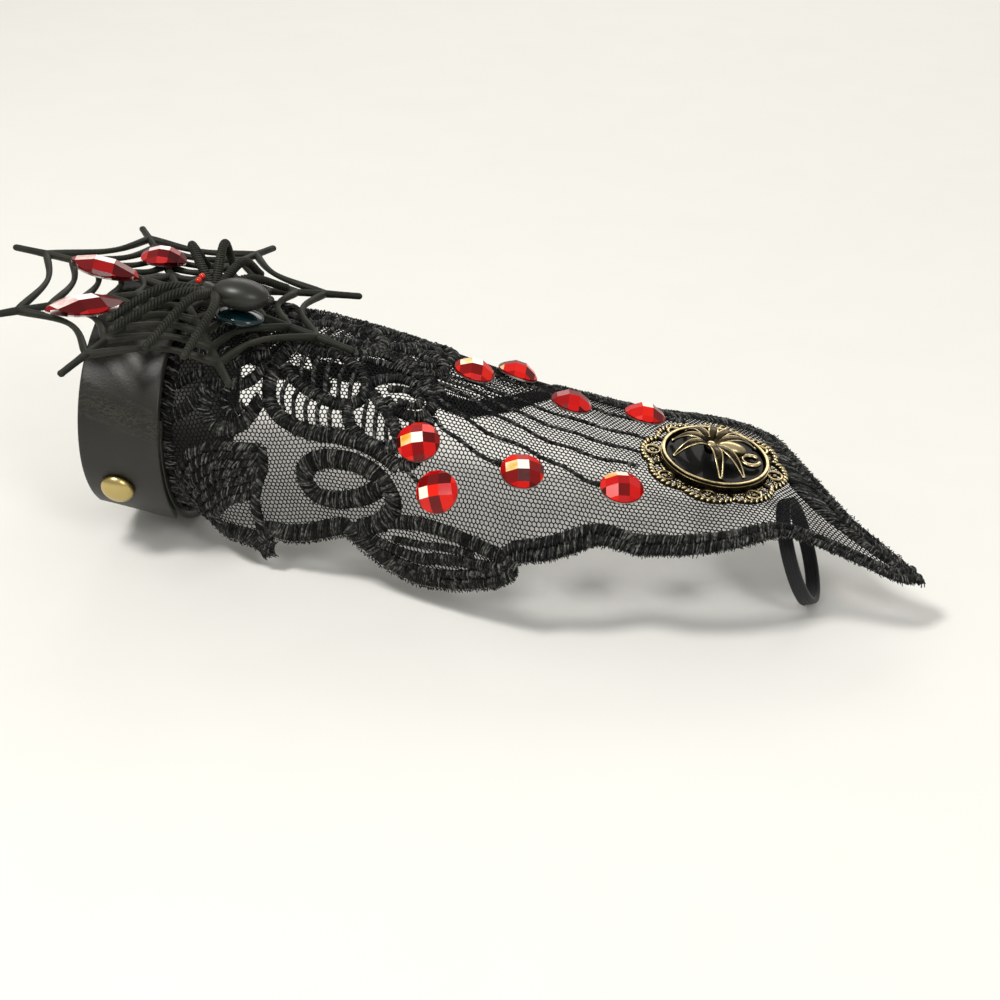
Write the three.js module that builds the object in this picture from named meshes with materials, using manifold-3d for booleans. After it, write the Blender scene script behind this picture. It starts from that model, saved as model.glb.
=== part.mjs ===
// A lace cuff for the right side, in the form that it takes when worn.
// A leather strap closes into a ring with a domed stud. A lace panel runs forward from the strap
// and narrows to a point, with an elastic finger loop under it.
// A metal web with a rope-legged spider sits on the strap, and cut stones and a filigree
// setting with a spider charm sit on the lace.
// Millimetres. +X runs from the strap to the lace's point and +Z is up. The scalloped hem's
// longer side is -Y. The origin is the middle of the strap's opening.
import * as THREE from 'three';
import { mergeVertices } from 'three/addons/utils/BufferGeometryUtils.js';
import Module from 'manifold-3d';

const wasm = await Module();
wasm.setup();

// Sizes of the worn form: the opening at the strap, and the wider and flatter front of the lace
const CUFF_REACH = 151.5;
const WRIST_HALF_WIDTH = 24;
const WRIST_HALF_HEIGHT = 19.5;
const FRONT_HALF_WIDTH = 39.5;
const FRONT_HALF_HEIGHT = 16;
const FRONT_SWEEP = 22.5;
const FRONT_DROP = 28;
const UNDERSIDE_SAG = 5;
const UNDERSIDE_LIFT = 2;

// Clearances between pieces that lie on each other
const SEAT_GAP = 0.3;
const BAND_EASE = 0.25;

// Wrist band and its stud
const BAND_WIDTH = 16;
const BAND_THICKNESS = 1.4;
const BAND_EDGE_ROUND = 0.4;
const BAND_INNER_END_ANGLE = -76;
const BAND_OVERLAP_ANGLE = 55;
const BAND_STEP_ANGLE = 75;
const BAND_STEP_CLEAR_ANGLE = 5;
const BAND_SEGMENT_ANGLE = 9;
const STUD_RADIUS = 3.4;
const STUD_DOME_HEIGHT = 2.2;
const STUD_POST_RADIUS = 1.2;
const STUD_BACK_RADIUS = 2.2;
const STUD_BACK_THICKNESS = 0.7;
const STUD_BACK_BEVEL = 0.15;
const STUD_ANGLE = -111;
const STUD_FROM_EDGE = 6.8;

// Lace panel
const LACE_THICKNESS = 1.0;
const LACE_HALF_WIDTH = 42;
const LACE_TUCK = 6;
const LACE_TIP_WIDTH = 1.2;
const HEM_WIDTH = 3;
const HEM_WIDEST_SHARE = 0.3;
const HEM_RISE = 0.5;
const MOTIF_RISE = 0.5;
const LACE_ROW_STEP = 3.3;
const LACE_COLUMNS = 14;

// Cut stones
const STONE_DIAMETER = 8;
const STONE_HEIGHT = 2.8;
const GIRDLE_HEIGHT = 0.8;
const STONE_FACET = 2.1;
const ROUND_STONE_SEGMENTS = 16;
const NAVETTE_LENGTH = 15.5;
const NAVETTE_WIDTH = 7.5;
const NAVETTE_FACETS_ACROSS = 3.6;
const NAVETTE_ARC_SEGMENTS = 7;
const DROP_LENGTH = 9.2;
const DROP_WIDTH = 8.2;
const DROP_NARROWING = 0.22;
const DROP_SEGMENTS = 18;

// Web of the strap
const WEB_RADIUS = 37.5;
const WEB_WIRE_RADIUS = 0.75;
const WEB_SPOKE_RADIUS = 0.8;
const WEB_DOME = 2;
const WEB_TILT = 7;
const WEB_FORWARD = 6.2;
const WEB_SIDE = -5.2;
const WEB_RING_SAG = 0.2;
const WEB_WIRE_SIDES = 5;
const WEB_SEAT_SAMPLES = 60;

// Spider of the web
const SPIDER_LEG_RADIUS = 1.05;
const SPIDER_LEG_REACH = 20;
const SPIDER_ABDOMEN_LENGTH = 11;
const SPIDER_ABDOMEN_WIDTH = 7.6;
const SPIDER_ABDOMEN_HEIGHT = 5.8;
const SPIDER_ABDOMEN_BACK = 3.85;
const SPIDER_HEAD_LENGTH = 5;
const SPIDER_HEAD_WIDTH = 4.5;
const SPIDER_HEAD_HEIGHT = 3.6;
const SPIDER_HEAD_FORWARD = 3;
const SPIDER_HEAD_DROP = 0.6;
const SPIDER_NUB_LENGTH = 2;
const SPIDER_NUB_WIDTH = 1.6;
const SPIDER_LEG_ROOT_FORWARD = 1.3;
const SPIDER_LEG_ROOT_DROP = 0.6;
const SPIDER_EYE_RADIUS = 0.6;
const SPIDER_FORWARD = 11;
const SPIDER_SIDE = -9.7;
const PAD_LENGTH = 9.5;
const PAD_WIDTH = 7;
const PAD_HEIGHT = 1.9;
const PAD_EDGE_SHARE = 0.3;

// Filigree setting and its charm
const BEZEL_RADIUS = 10.2;
const BEZEL_WALL = 0.7;
const BEZEL_HEIGHT = 2.6;
const LEDGE_WIDTH = 1.2;
const LEDGE_HEIGHT = 0.9;
const DISC_THICKNESS = 0.7;
const FILIGREE_RADIUS = 14.1;
const FILIGREE_LOBES = 8;
const FILIGREE_LOBE_DEPTH = 1.5;
const FILIGREE_LOBE_FULLNESS = 0.7;
const FILIGREE_WIRE_RADIUS = 0.55;
const FILIGREE_RING_WIRE_RADIUS = 0.4;
const CHARM_LEG_RADIUS = 0.5;
const CHARM_ARCH = 1.6;
const CHARM_HEAD_RADIUS = 1.25;
const CHARM_ABDOMEN_LENGTH = 5.6;
const CHARM_ABDOMEN_WIDTH = 3.4;
const CHARM_ABDOMEN_HEIGHT = 2.7;
const CHARM_ABDOMEN_INSET = 0.25;
const CHARM_KNEE_SHARE = 0.55;
const CHARM_KNEE_RISE = 1.1;
const CHARM_LOOP_RADIUS = 1.7;
const CHARM_LOOP_WIRE_RADIUS = 0.5;

// Elastic finger loop
const LOOP_INNER_RADIUS = 9;
const LOOP_WIDTH = 2.6;
const LOOP_THICKNESS = 1.2;
const LOOP_TILT = 34;
const LOOP_SEGMENTS = 28;

// Short steps over which slopes of the form are taken, as a length and as an angle
const SLOPE_STEP = 0.5;
const SLOPE_TURN = 0.01;

const rad = THREE.MathUtils.degToRad;
const lerp = THREE.MathUtils.lerp;
const clamp = THREE.MathUtils.clamp;

// The worn form, in shares: along of the reach, sweep and drop of the front's sweep and drop,
// spread from the wrist's half width to the front's, flatten from half height to half height,
// and far the half width on the +Y side as a share of the other.
// Roll turns the -Y side down, in degrees.
const FORM = [
  { along: -0.079, sweep: 0, drop: 0, spread: 0.02, flatten: 0, roll: 0, far: 0.8 },
  { along: 0, sweep: 0, drop: 0, spread: 0, flatten: 0, roll: 0, far: 0.8 },
  { along: 0.184, sweep: 0.067, drop: 0.02, spread: 0.03, flatten: 0.43, roll: 0, far: 0.8 },
  { along: 0.366, sweep: 0.22, drop: 0.15, spread: 0.26, flatten: 0.77, roll: 0, far: 0.71 },
  { along: 0.524, sweep: 0.4, drop: 0.41, spread: 0.71, flatten: 0.75, roll: 3, far: 0.77 },
  { along: 0.647, sweep: 0.555, drop: 0.555, spread: 0.93, flatten: 0.86, roll: 5, far: 0.87 },
  { along: 0.741, sweep: 0.69, drop: 0.625, spread: 1, flatten: 1, roll: 5, far: 0.98 },
  { along: 0.837, sweep: 0.82, drop: 0.715, spread: 1, flatten: 1.14, roll: 4, far: 1 },
  { along: 0.926, sweep: 0.955, drop: 0.89, spread: 0.97, flatten: 1.28, roll: 2, far: 1 },
  { along: 1.018, sweep: 1.09, drop: 1.2, spread: 0.9, flatten: 1.4, roll: 0, far: 1 },
];

// The lace's edges, in shares: along of the reach, across of the lace's half width from the
// form's crest, bulge of that half width for the scallop that runs on to the next row.
const NEAR_EDGE = [
  { along: 0.0575, across: -1.3, bulge: 0 },
  { along: 0.186, across: -1.285, bulge: 0 },
  { along: 0.191, across: -1.19, bulge: -0.03 },
  { along: 0.293, across: -1.08, bulge: -0.19 },
  { along: 0.523, across: -0.92, bulge: 0 },
  { along: 0.53, across: -0.85, bulge: -0.015 },
  { along: 0.62, across: -0.655, bulge: -0.075 },
  { along: 0.827, across: -0.345, bulge: -0.1 },
  { along: 1, across: 0.01, bulge: 0 },
];
const FAR_EDGE = [
  { along: 0.0575, across: 0.87, bulge: 0 },
  { along: 0.186, across: 0.86, bulge: 0 },
  { along: 0.191, across: 0.76, bulge: 0.03 },
  { along: 0.293, across: 0.65, bulge: 0.16 },
  { along: 0.523, across: 0.58, bulge: 0 },
  { along: 0.53, across: 0.53, bulge: -0.08 },
  { along: 0.757, across: 0.7, bulge: 0.06 },
  { along: 0.827, across: 0.5, bulge: -0.015 },
  { along: 0.912, across: 0.105, bulge: -0.015 },
  { along: 1, across: 0.01, bulge: 0 },
];

// Embroidered petals and leaves, raised above the net, in the same shares as the edges.
// Length and width are shares of the lace's half width, and turn is in degrees.
const MOTIFS = [
  { along: 0.237, across: -0.32, length: 0.44, width: 0.19, turn: 5 },
  { along: 0.244, across: -0.49, length: 0.42, width: 0.19, turn: -15 },
  { along: 0.336, across: -0.5, length: 0.36, width: 0.15, turn: -25 },
  { along: 0.363, across: -0.24, length: 0.24, width: 0.24, turn: 0 },
  { along: 0.31, across: -0.8, length: 0.48, width: 0.22, turn: 8 },
  { along: 0.144, across: -1.05, length: 0.5, width: 0.4, turn: -25 },
  { along: 0.449, across: -1.07, length: 0.8, width: 0.24, turn: 8 },
  { along: 0.106, across: -0.55, length: 0.3, width: 0.25, turn: 30 },
  { along: 0.24, across: -0.08, length: 0.42, width: 0.19, turn: -8 },
  { along: 0.24, across: 0.12, length: 0.4, width: 0.19, turn: 15 },
  { along: 0.144, across: 0.6, length: 0.5, width: 0.4, turn: 25 },
  { along: 0.449, across: 0.7, length: 0.8, width: 0.24, turn: 3 },
];

// Round stones on the lace, in the same shares
const LACE_STONES = [
  { along: 0.386, across: -0.562 },
  { along: 0.419, across: -0.718 },
  { along: 0.513, across: -0.499 },
  { along: 0.633, across: -0.384 },
  { along: 0.424, across: -0.003 },
  { along: 0.471, across: 0.21 },
  { along: 0.548, across: 0.123 },
  { along: 0.64, across: 0.3 },
];
const SETTING_PLACE = { along: 0.736, across: 0.025 };
const LOOP_PLACE = { along: 0.828, across: -0.03 };

// Spokes of the web: turn in degrees from +X, reach as a share of the web's radius
const WEB_SPOKES = [
  { turn: 29, reach: 0.97 },
  { turn: 74.5, reach: 0.94 },
  { turn: 119.5, reach: 0.98 },
  { turn: 163, reach: 1.05 },
  { turn: 217, reach: 1.05 },
  { turn: 257, reach: 1.08 },
  { turn: 301.5, reach: 1 },
  { turn: 347.5, reach: 1 },
];

// Rings of the web: share of the web's radius, and segments of each arc between spokes
const WEB_RINGS = [
  { share: 0.22, arcSegments: 2 },
  { share: 0.36, arcSegments: 2 },
  { share: 0.5, arcSegments: 3 },
  { share: 0.65, arcSegments: 3 },
  { share: 0.81, arcSegments: 3 },
];

// Legs of the web's spider, in shares of the leg reach from the middle of its body:
// the raised knee and the foot. Rise is above the web.
const SPIDER_LEGS = [
  { kneeX: -0.5, kneeY: -0.2, kneeRise: 0.31, footX: -0.88, footY: -0.58 },
  { kneeX: -0.37, kneeY: -0.32, kneeRise: 0.31, footX: -0.79, footY: -0.77 },
  { kneeX: -0.2, kneeY: -0.38, kneeRise: 0.31, footX: -0.4, footY: -0.97 },
  { kneeX: 0.05, kneeY: -0.42, kneeRise: 0.3, footX: -0.03, footY: -1 },
  { kneeX: -0.5, kneeY: 0.66, kneeRise: 0.42, footX: -0.42, footY: 0.98 },
  { kneeX: -0.22, kneeY: 0.8, kneeRise: 0.44, footX: -0.2, footY: 1.12 },
  { kneeX: 0.02, kneeY: 0.62, kneeRise: 0.36, footX: 0.1, footY: 1.05 },
  { kneeX: 0.16, kneeY: 0.4, kneeRise: 0.3, footX: 0.42, footY: 0.85 },
];

// Stones of the web, in shares of the web's radius, turned in degrees
const WEB_NAVETTES = [
  { x: -0.41, y: 0.02, turn: -14 },
  { x: -0.34, y: -0.47, turn: 40 },
];
const WEB_DROP = { x: -0.18, y: 0.3, turn: -5 };

// Directions in which the charm's legs reach for the bezel, in degrees
const CHARM_LEG_TURNS = [35, 68, 100, 137, 170, 207, 281, 313];

// Worn form

function formSection(x) {
  const share = x / CUFF_REACH;
  let row = 0;
  while (row < FORM.length - 2 && share > FORM[row + 1].along) row += 1;
  const value = (name) => {
    const slopeAt = (i) => {
      const before = FORM[Math.max(i - 1, 0)];
      const after = FORM[Math.min(i + 1, FORM.length - 1)];
      return (after[name] - before[name]) / (after.along - before.along);
    };
    const span = FORM[row + 1].along - FORM[row].along;
    const u = (share - FORM[row].along) / span;
    return (1 + 2 * u) * (1 - u) ** 2 * FORM[row][name] + u * (1 - u) ** 2 * span * slopeAt(row)
      + u * u * (3 - 2 * u) * FORM[row + 1][name] + u * u * (u - 1) * span * slopeAt(row + 1);
  };
  const edge = BAND_WIDTH / 2;
  const hang = THREE.MathUtils.smoothstep(x, edge, edge + BAND_WIDTH);
  return {
    halfWidth: lerp(WRIST_HALF_WIDTH, FRONT_HALF_WIDTH, value('spread')),
    halfHeight: lerp(WRIST_HALF_HEIGHT, FRONT_HALF_HEIGHT, value('flatten')),
    centre: new THREE.Vector3(x, -FRONT_SWEEP * value('sweep'), -FRONT_DROP * value('drop')),
    roll: rad(value('roll')),
    farShare: lerp(1, value('far'), hang),
    sag: UNDERSIDE_SAG * clamp((x + edge) / BAND_WIDTH, 0, 1) - UNDERSIDE_LIFT,
    hang,
  };
}

// The section's half width on one side: the +Y side is narrower.
function sideWidth(section, side) {
  return section.halfWidth * (side > 0 ? section.farShare : 1);
}

// The point at a place y, z of a section, which is turned by its roll about its centre.
function inSection(section, y, z) {
  const c = Math.cos(section.roll);
  const s = Math.sin(section.roll);
  return new THREE.Vector3(0, y * c - z * s, z * c + y * s).add(section.centre);
}

function ringPoint(x, angle, offset) {
  const section = formSection(x);
  const height = Math.cos(angle) < 0 ? section.halfHeight + section.sag : section.halfHeight;
  const halfWidth = sideWidth(section, Math.sin(angle));
  const normal = new THREE.Vector2(Math.sin(angle) / halfWidth, Math.cos(angle) / height);
  normal.normalize();
  const y = halfWidth * Math.sin(angle) + normal.x * offset;
  const z = height * Math.cos(angle) + normal.y * offset;
  return inSection(section, y, z);
}

// The form's surface at x, and at the length across that is measured over it from its crest.
// Below its widest line the lace hangs straight down.
function formSurface(x, across) {
  const section = formSection(x);
  const { halfHeight } = section;
  const halfWidth = sideWidth(section, across);
  const side = Math.sign(across);
  const quarter = (Math.PI / 4) * (halfWidth + halfHeight);
  const below = Math.abs(across) - quarter;
  const height = below > 0 ? halfHeight + section.sag : halfHeight;
  const turn = below > 0
    ? Math.PI / 2 + (2 * below) / (halfWidth + height)
    : (2 * Math.abs(across)) / (halfWidth + halfHeight);
  const squash = (halfWidth - height) / (halfWidth + height);
  const angle = turn - 0.5 * squash * Math.sin(2 * turn);
  let y = halfWidth * Math.sin(angle);
  let z = height * Math.cos(angle);
  if (below > 0) {
    y = lerp(y, halfWidth, section.hang);
    z = lerp(z, -below, section.hang);
  }
  return inSection(section, side * y, z);
}

function formNormal(x, across) {
  const along = formSurface(x + SLOPE_STEP, across).sub(formSurface(x - SLOPE_STEP, across));
  const over = formSurface(x, across + SLOPE_STEP).sub(formSurface(x, across - SLOPE_STEP));
  return along.cross(over).normalize();
}

function overForm(x, across, offset) {
  return formSurface(x, across).addScaledVector(formNormal(x, across), offset);
}

// Solids

// A closed body through rings of points, or round and back to the first ring.
// An open body's ends are closed between the two halves of the end ring.
function loft(rings, wraps = false) {
  const count = rings[0].length;
  const positions = rings.flat().flatMap((point) => point.toArray());
  const index = [];
  const last = wraps ? rings.length : rings.length - 1;
  for (let i = 0; i < last; i += 1) {
    const here = i * count;
    const next = ((i + 1) % rings.length) * count;
    for (let j = 0; j < count; j += 1) {
      const k = (j + 1) % count;
      index.push(here + j, here + k, next + k, here + j, next + k, next + j);
    }
  }
  if (!wraps) {
    const end = (rings.length - 1) * count;
    for (let j = 0; j < count / 2 - 1; j += 1) {
      const a = j;
      const b = j + 1;
      const c = count - 2 - j;
      const d = count - 1 - j;
      index.push(a, c, b, a, d, c);
      index.push(end + a, end + b, end + c, end + a, end + c, end + d);
    }
  }
  const geometry = new THREE.BufferGeometry();
  geometry.setAttribute('position', new THREE.Float32BufferAttribute(positions, 3));
  geometry.setIndex(index);
  return geometry;
}

function solidOf(geometry) {
  const bare = geometry.clone();
  bare.deleteAttribute('normal');
  bare.deleteAttribute('uv');
  const merged = mergeVertices(bare, 1e-4);
  let triVerts = Uint32Array.from(merged.index.array);
  const vertProperties = Float32Array.from(merged.attributes.position.array);
  let solid = new wasm.Manifold(new wasm.Mesh({ numProp: 3, vertProperties, triVerts }));
  if (solid.volume() < 0) {
    triVerts = triVerts.map((value, i) => triVerts[i % 3 === 0 ? i : i % 3 === 1 ? i + 1 : i - 1]);
    solid = new wasm.Manifold(new wasm.Mesh({ numProp: 3, vertProperties, triVerts }));
  }
  return solid;
}

function geometryOf(solid) {
  const mesh = solid.getMesh();
  const geometry = new THREE.BufferGeometry();
  geometry.setAttribute('position', new THREE.BufferAttribute(mesh.vertProperties, 3));
  geometry.setIndex(new THREE.BufferAttribute(mesh.triVerts, 1));
  return geometry;
}

function joined(geometries) {
  return geometryOf(geometries.map(solidOf).reduce((whole, piece) => whole.add(piece)));
}

// A wire of even thickness through points, closed into a loop where it wraps.
// Its sections stand square to its run, with one corner towards the up direction.
function wire(points, radius, sides, wraps = false, up = new THREE.Vector3(0, 0, 1)) {
  const count = points.length;
  const rings = points.map((point, i) => {
    const before = wraps ? points[(i + count - 1) % count] : points[Math.max(i - 1, 0)];
    const after = wraps ? points[(i + 1) % count] : points[Math.min(i + 1, count - 1)];
    const run = after.clone().sub(before).normalize();
    const side = new THREE.Vector3().crossVectors(up, run).normalize();
    const rise = new THREE.Vector3().crossVectors(run, side);
    return Array.from({ length: sides }, (_, j) => {
      const angle = (2 * Math.PI * j) / sides;
      return point.clone()
        .addScaledVector(rise, radius * Math.cos(angle))
        .addScaledVector(side, -radius * Math.sin(angle));
    });
  });
  return loft(rings, wraps);
}

function egg(length, width, height, segments) {
  const geometry = new THREE.SphereGeometry(0.5, segments, Math.round(segments * 0.6));
  return geometry.rotateZ(Math.PI / 2).scale(length, width, height);
}

function circlePoints(radius, count) {
  const shape = new THREE.Shape().absarc(0, 0, radius, 0, 2 * Math.PI, false);
  return shape.getSpacedPoints(count).slice(0, count);
}

// Wrist band

const innerLayer = LACE_THICKNESS + SEAT_GAP + BAND_EASE;
const outerLayer = innerLayer + BAND_THICKNESS + SEAT_GAP;
const bandTop = innerLayer + BAND_THICKNESS;

function studFrame(lift) {
  const x = STUD_FROM_EDGE - BAND_WIDTH / 2;
  const angle = rad(STUD_ANGLE);
  const around = ringPoint(x, angle + SLOPE_TURN, lift).sub(ringPoint(x, angle - SLOPE_TURN, lift));
  const along = ringPoint(x + SLOPE_STEP, angle, lift).sub(ringPoint(x - SLOPE_STEP, angle, lift));
  return { base: ringPoint(x, angle, lift), normal: along.cross(around).normalize() };
}

function wristBand() {
  const half = BAND_WIDTH / 2;
  const round = BAND_EDGE_ROUND;
  const profile = [
    [-half, 0], [half, 0], [half, BAND_THICKNESS - round],
    [half - round, BAND_THICKNESS], [round - half, BAND_THICKNESS], [-half, BAND_THICKNESS - round],
  ];
  const sweepAngle = 360 + BAND_OVERLAP_ANGLE;
  const steps = Math.round(sweepAngle / BAND_SEGMENT_ANGLE);
  const stepEnd = 360 - BAND_STEP_CLEAR_ANGLE;
  const rings = [];
  for (let i = 0; i <= steps; i += 1) {
    const passed = (sweepAngle * i) / steps;
    const climb = THREE.MathUtils.smoothstep(passed, stepEnd - BAND_STEP_ANGLE, stepEnd);
    const offset = lerp(innerLayer, outerLayer, climb);
    const angle = rad(BAND_INNER_END_ANGLE - passed);
    rings.push(profile.map(([x, rise]) => ringPoint(x, angle, offset + rise)));
  }
  const { base, normal } = studFrame(0);
  const drillRadius = STUD_POST_RADIUS + SEAT_GAP;
  const drillLength = 2 * (outerLayer + 2 * BAND_THICKNESS);
  const drill = new THREE.CylinderGeometry(drillRadius, drillRadius, drillLength, 12);
  drill.applyQuaternion(new THREE.Quaternion().setFromUnitVectors(new THREE.Vector3(0, 1, 0), normal));
  drill.translate(base.x, base.y, base.z);
  return geometryOf(solidOf(loft(rings)).subtract(solidOf(drill)));
}

// The stud's dome, its post through both layers and the round foot inside the band, turned as one.
function bandStud() {
  const foot = STUD_BACK_THICKNESS;
  const headBase = outerLayer + BAND_THICKNESS + SEAT_GAP - (innerLayer - SEAT_GAP) + foot;
  const profile = [
    new THREE.Vector2(0, 0), new THREE.Vector2(STUD_BACK_RADIUS, 0),
    new THREE.Vector2(STUD_BACK_RADIUS, foot - STUD_BACK_BEVEL), new THREE.Vector2(STUD_POST_RADIUS, foot),
    new THREE.Vector2(STUD_POST_RADIUS, headBase), new THREE.Vector2(STUD_RADIUS, headBase),
  ];
  for (let i = 1; i <= 4; i += 1) {
    const angle = (Math.PI / 2) * (i / 4);
    const radius = i === 4 ? 0 : STUD_RADIUS * Math.cos(angle);
    profile.push(new THREE.Vector2(radius, headBase + STUD_DOME_HEIGHT * Math.sin(angle)));
  }
  return new THREE.LatheGeometry(profile, 14).rotateX(Math.PI / 2);
}

// Lace panel

function edgeAt(rows, share) {
  let row = 0;
  while (row < rows.length - 2 && share > rows[row + 1].along) row += 1;
  const here = rows[row];
  const next = rows[row + 1];
  const u = clamp((share - here.along) / (next.along - here.along), 0, 1);
  return LACE_HALF_WIDTH * (lerp(here.across, next.across, u) + here.bulge * 4 * u * (1 - u));
}

function laceRows() {
  const start = (BAND_WIDTH / 2 - LACE_TUCK) / CUFF_REACH;
  const marks = [start, ...NEAR_EDGE.map((row) => row.along), ...FAR_EDGE.map((row) => row.along)];
  const sorted = [...new Set(marks)].filter((mark) => mark >= start).sort((a, b) => a - b);
  const rows = [sorted[0]];
  for (let i = 1; i < sorted.length; i += 1) {
    const span = sorted[i] - sorted[i - 1];
    const pieces = Math.max(1, Math.round((span * CUFF_REACH) / LACE_ROW_STEP));
    for (let j = 1; j <= pieces; j += 1) rows.push(sorted[i - 1] + (span * j) / pieces);
  }
  return rows;
}

function motifRise(x, across) {
  let rise = 0;
  for (const motif of MOTIFS) {
    const dx = x - motif.along * CUFF_REACH;
    const dy = across - motif.across * LACE_HALF_WIDTH;
    const c = Math.cos(rad(motif.turn));
    const s = Math.sin(rad(motif.turn));
    const u = (dx * c + dy * s) / (motif.length * LACE_HALF_WIDTH * 0.5);
    const v = (dy * c - dx * s) / (motif.width * LACE_HALF_WIDTH * 0.5);
    rise = Math.max(rise, 1 - THREE.MathUtils.smoothstep(Math.hypot(u, v), 0.8, 1.2));
  }
  return rise * MOTIF_RISE;
}

function lacePanel() {
  const bandEdge = BAND_WIDTH / 2;
  const rings = laceRows().map((share) => {
    const x = share * CUFF_REACH;
    const centre = (edgeAt(NEAR_EDGE, share) + edgeAt(FAR_EDGE, share)) / 2;
    const tipHalf = LACE_TIP_WIDTH / 2;
    const near = Math.min(edgeAt(NEAR_EDGE, share), centre - tipHalf);
    const far = Math.max(edgeAt(FAR_EDGE, share), centre + tipHalf);
    const hem = Math.min(HEM_WIDTH, (far - near) * HEM_WIDEST_SHARE);
    const free = THREE.MathUtils.smoothstep(x, bandEdge + SEAT_GAP, bandEdge + HEM_WIDTH);
    const outer = [];
    const inner = [];
    for (let i = 0; i <= LACE_COLUMNS; i += 1) {
      let across = lerp(near + hem, far - hem, (i - 1) / (LACE_COLUMNS - 2));
      if (i === 0) across = near;
      if (i === LACE_COLUMNS) across = far;
      const atHem = i === 0 || i === 1 || i >= LACE_COLUMNS - 1;
      const rise = atHem ? HEM_RISE : motifRise(x, across);
      outer.push(overForm(x, across, LACE_THICKNESS + rise * free));
      inner.unshift(overForm(x, across, 0));
    }
    return outer.concat(inner);
  });
  return geometryOf(solidOf(loft(rings)));
}

// How high the lace's face can stand at a place, with its hem or motifs
const laceFace = LACE_THICKNESS + Math.max(HEM_RISE, MOTIF_RISE);

// A place on the lace for a flat piece of some radius: it clears all the lace under it.
function laceSeat(place, radius) {
  const x = place.along * CUFF_REACH;
  const across = place.across * LACE_HALF_WIDTH;
  const base = formSurface(x, across);
  const normal = formNormal(x, across);
  let height = 0;
  for (let ring = 0; ring <= 2; ring += 1) {
    for (let i = 0; i < 12; i += 1) {
      const reach = (radius * ring) / 2;
      const dx = reach * Math.cos((Math.PI * i) / 6);
      const dy = reach * Math.sin((Math.PI * i) / 6);
      const rise = LACE_THICKNESS + motifRise(x + dx, across + dy);
      height = Math.max(height, overForm(x + dx, across + dy, rise).sub(base).dot(normal));
    }
  }
  return { base: base.addScaledVector(normal, height + SEAT_GAP), normal };
}

// Cut stones

// A dome of square facets whose corners lie on a paraboloid, so each facet is flat.
function chequerDome(halfLength, halfWidth, facetsAcross) {
  const cells = Math.ceil(facetsAcross / 2) * 2 + 1;
  const facet = 2 / facetsAcross;
  const half = cells / 2;
  const fall = STONE_HEIGHT - GIRDLE_HEIGHT;
  const rings = [];
  for (let i = 0; i <= cells; i += 1) {
    const top = [];
    const bottom = [];
    for (let j = 0; j <= cells; j += 1) {
      const u = (i - half) * facet;
      const v = (j - half) * facet;
      const x = (halfLength * (u - v)) / Math.SQRT2;
      const y = (halfWidth * (u + v)) / Math.SQRT2;
      top.push(new THREE.Vector3(x, y, STONE_HEIGHT - fall * (u * u + v * v)));
      bottom.unshift(new THREE.Vector3(x, y, -STONE_HEIGHT * 2 - fall * (u * u + v * v)));
    }
    rings.push(top.concat(bottom));
  }
  return solidOf(loft(rings));
}

function cutStone(outline, halfLength, halfWidth, facetsAcross) {
  const prism = new THREE.ExtrudeGeometry(new THREE.Shape(outline), {
    depth: STONE_HEIGHT * 2, bevelEnabled: false, steps: 1,
  });
  return geometryOf(solidOf(prism).intersect(chequerDome(halfLength, halfWidth, facetsAcross)));
}

function roundStone() {
  const radius = STONE_DIAMETER / 2;
  return cutStone(circlePoints(radius, ROUND_STONE_SEGMENTS), radius, radius, STONE_DIAMETER / STONE_FACET);
}

// A pointed oval between two arcs
function navetteStone() {
  const a = NAVETTE_LENGTH / 2;
  const b = NAVETTE_WIDTH / 2;
  const arc = (a * a + b * b) / (2 * b);
  const sweep = Math.asin(a / arc);
  const outline = [];
  for (const side of [-1, 1]) {
    for (let i = 0; i < NAVETTE_ARC_SEGMENTS; i += 1) {
      const angle = lerp(-sweep, sweep, i / NAVETTE_ARC_SEGMENTS);
      const y = arc * Math.cos(angle) - arc + b;
      outline.push(new THREE.Vector2(-side * arc * Math.sin(angle), side * y));
    }
  }
  return cutStone(outline, a, b, NAVETTE_FACETS_ACROSS);
}

// A drop, round at one end and narrower at the other
function dropStone() {
  const outline = [];
  for (let i = 0; i < DROP_SEGMENTS; i += 1) {
    const angle = (2 * Math.PI * i) / DROP_SEGMENTS;
    const spread = Math.sin(angle) * (1 - DROP_NARROWING * Math.cos(angle));
    outline.push(new THREE.Vector2((DROP_LENGTH / 2) * Math.cos(angle), spread));
  }
  const widest = Math.max(...outline.map((point) => point.y));
  for (const point of outline) point.y *= DROP_WIDTH / 2 / widest;
  return cutStone(outline, DROP_LENGTH / 2, DROP_WIDTH / 2, DROP_LENGTH / STONE_FACET);
}

// Web

function webPoint(turn, radius) {
  const height = -WEB_DOME * (radius / WEB_RADIUS) ** 2;
  return new THREE.Vector3(radius * Math.cos(rad(turn)), radius * Math.sin(rad(turn)), height);
}

// Each ring runs from spoke to spoke in arcs that sag towards the middle.
function webRing(ring) {
  return WEB_SPOKES.flatMap((spoke, i) => {
    const next = WEB_SPOKES[(i + 1) % WEB_SPOKES.length];
    const gap = (next.turn - spoke.turn + 360) % 360;
    return Array.from({ length: ring.arcSegments }, (_, step) => {
      const part = step / ring.arcSegments;
      const reach = lerp(spoke.reach, next.reach, part) * ring.share * WEB_RADIUS;
      return webPoint(spoke.turn + gap * part, reach * (1 - WEB_RING_SAG * 4 * part * (1 - part)));
    });
  });
}

function webSpoke(spoke) {
  return [0, 0.5, 1].map((share) => webPoint(spoke.turn, share * spoke.reach * WEB_RADIUS));
}

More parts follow.
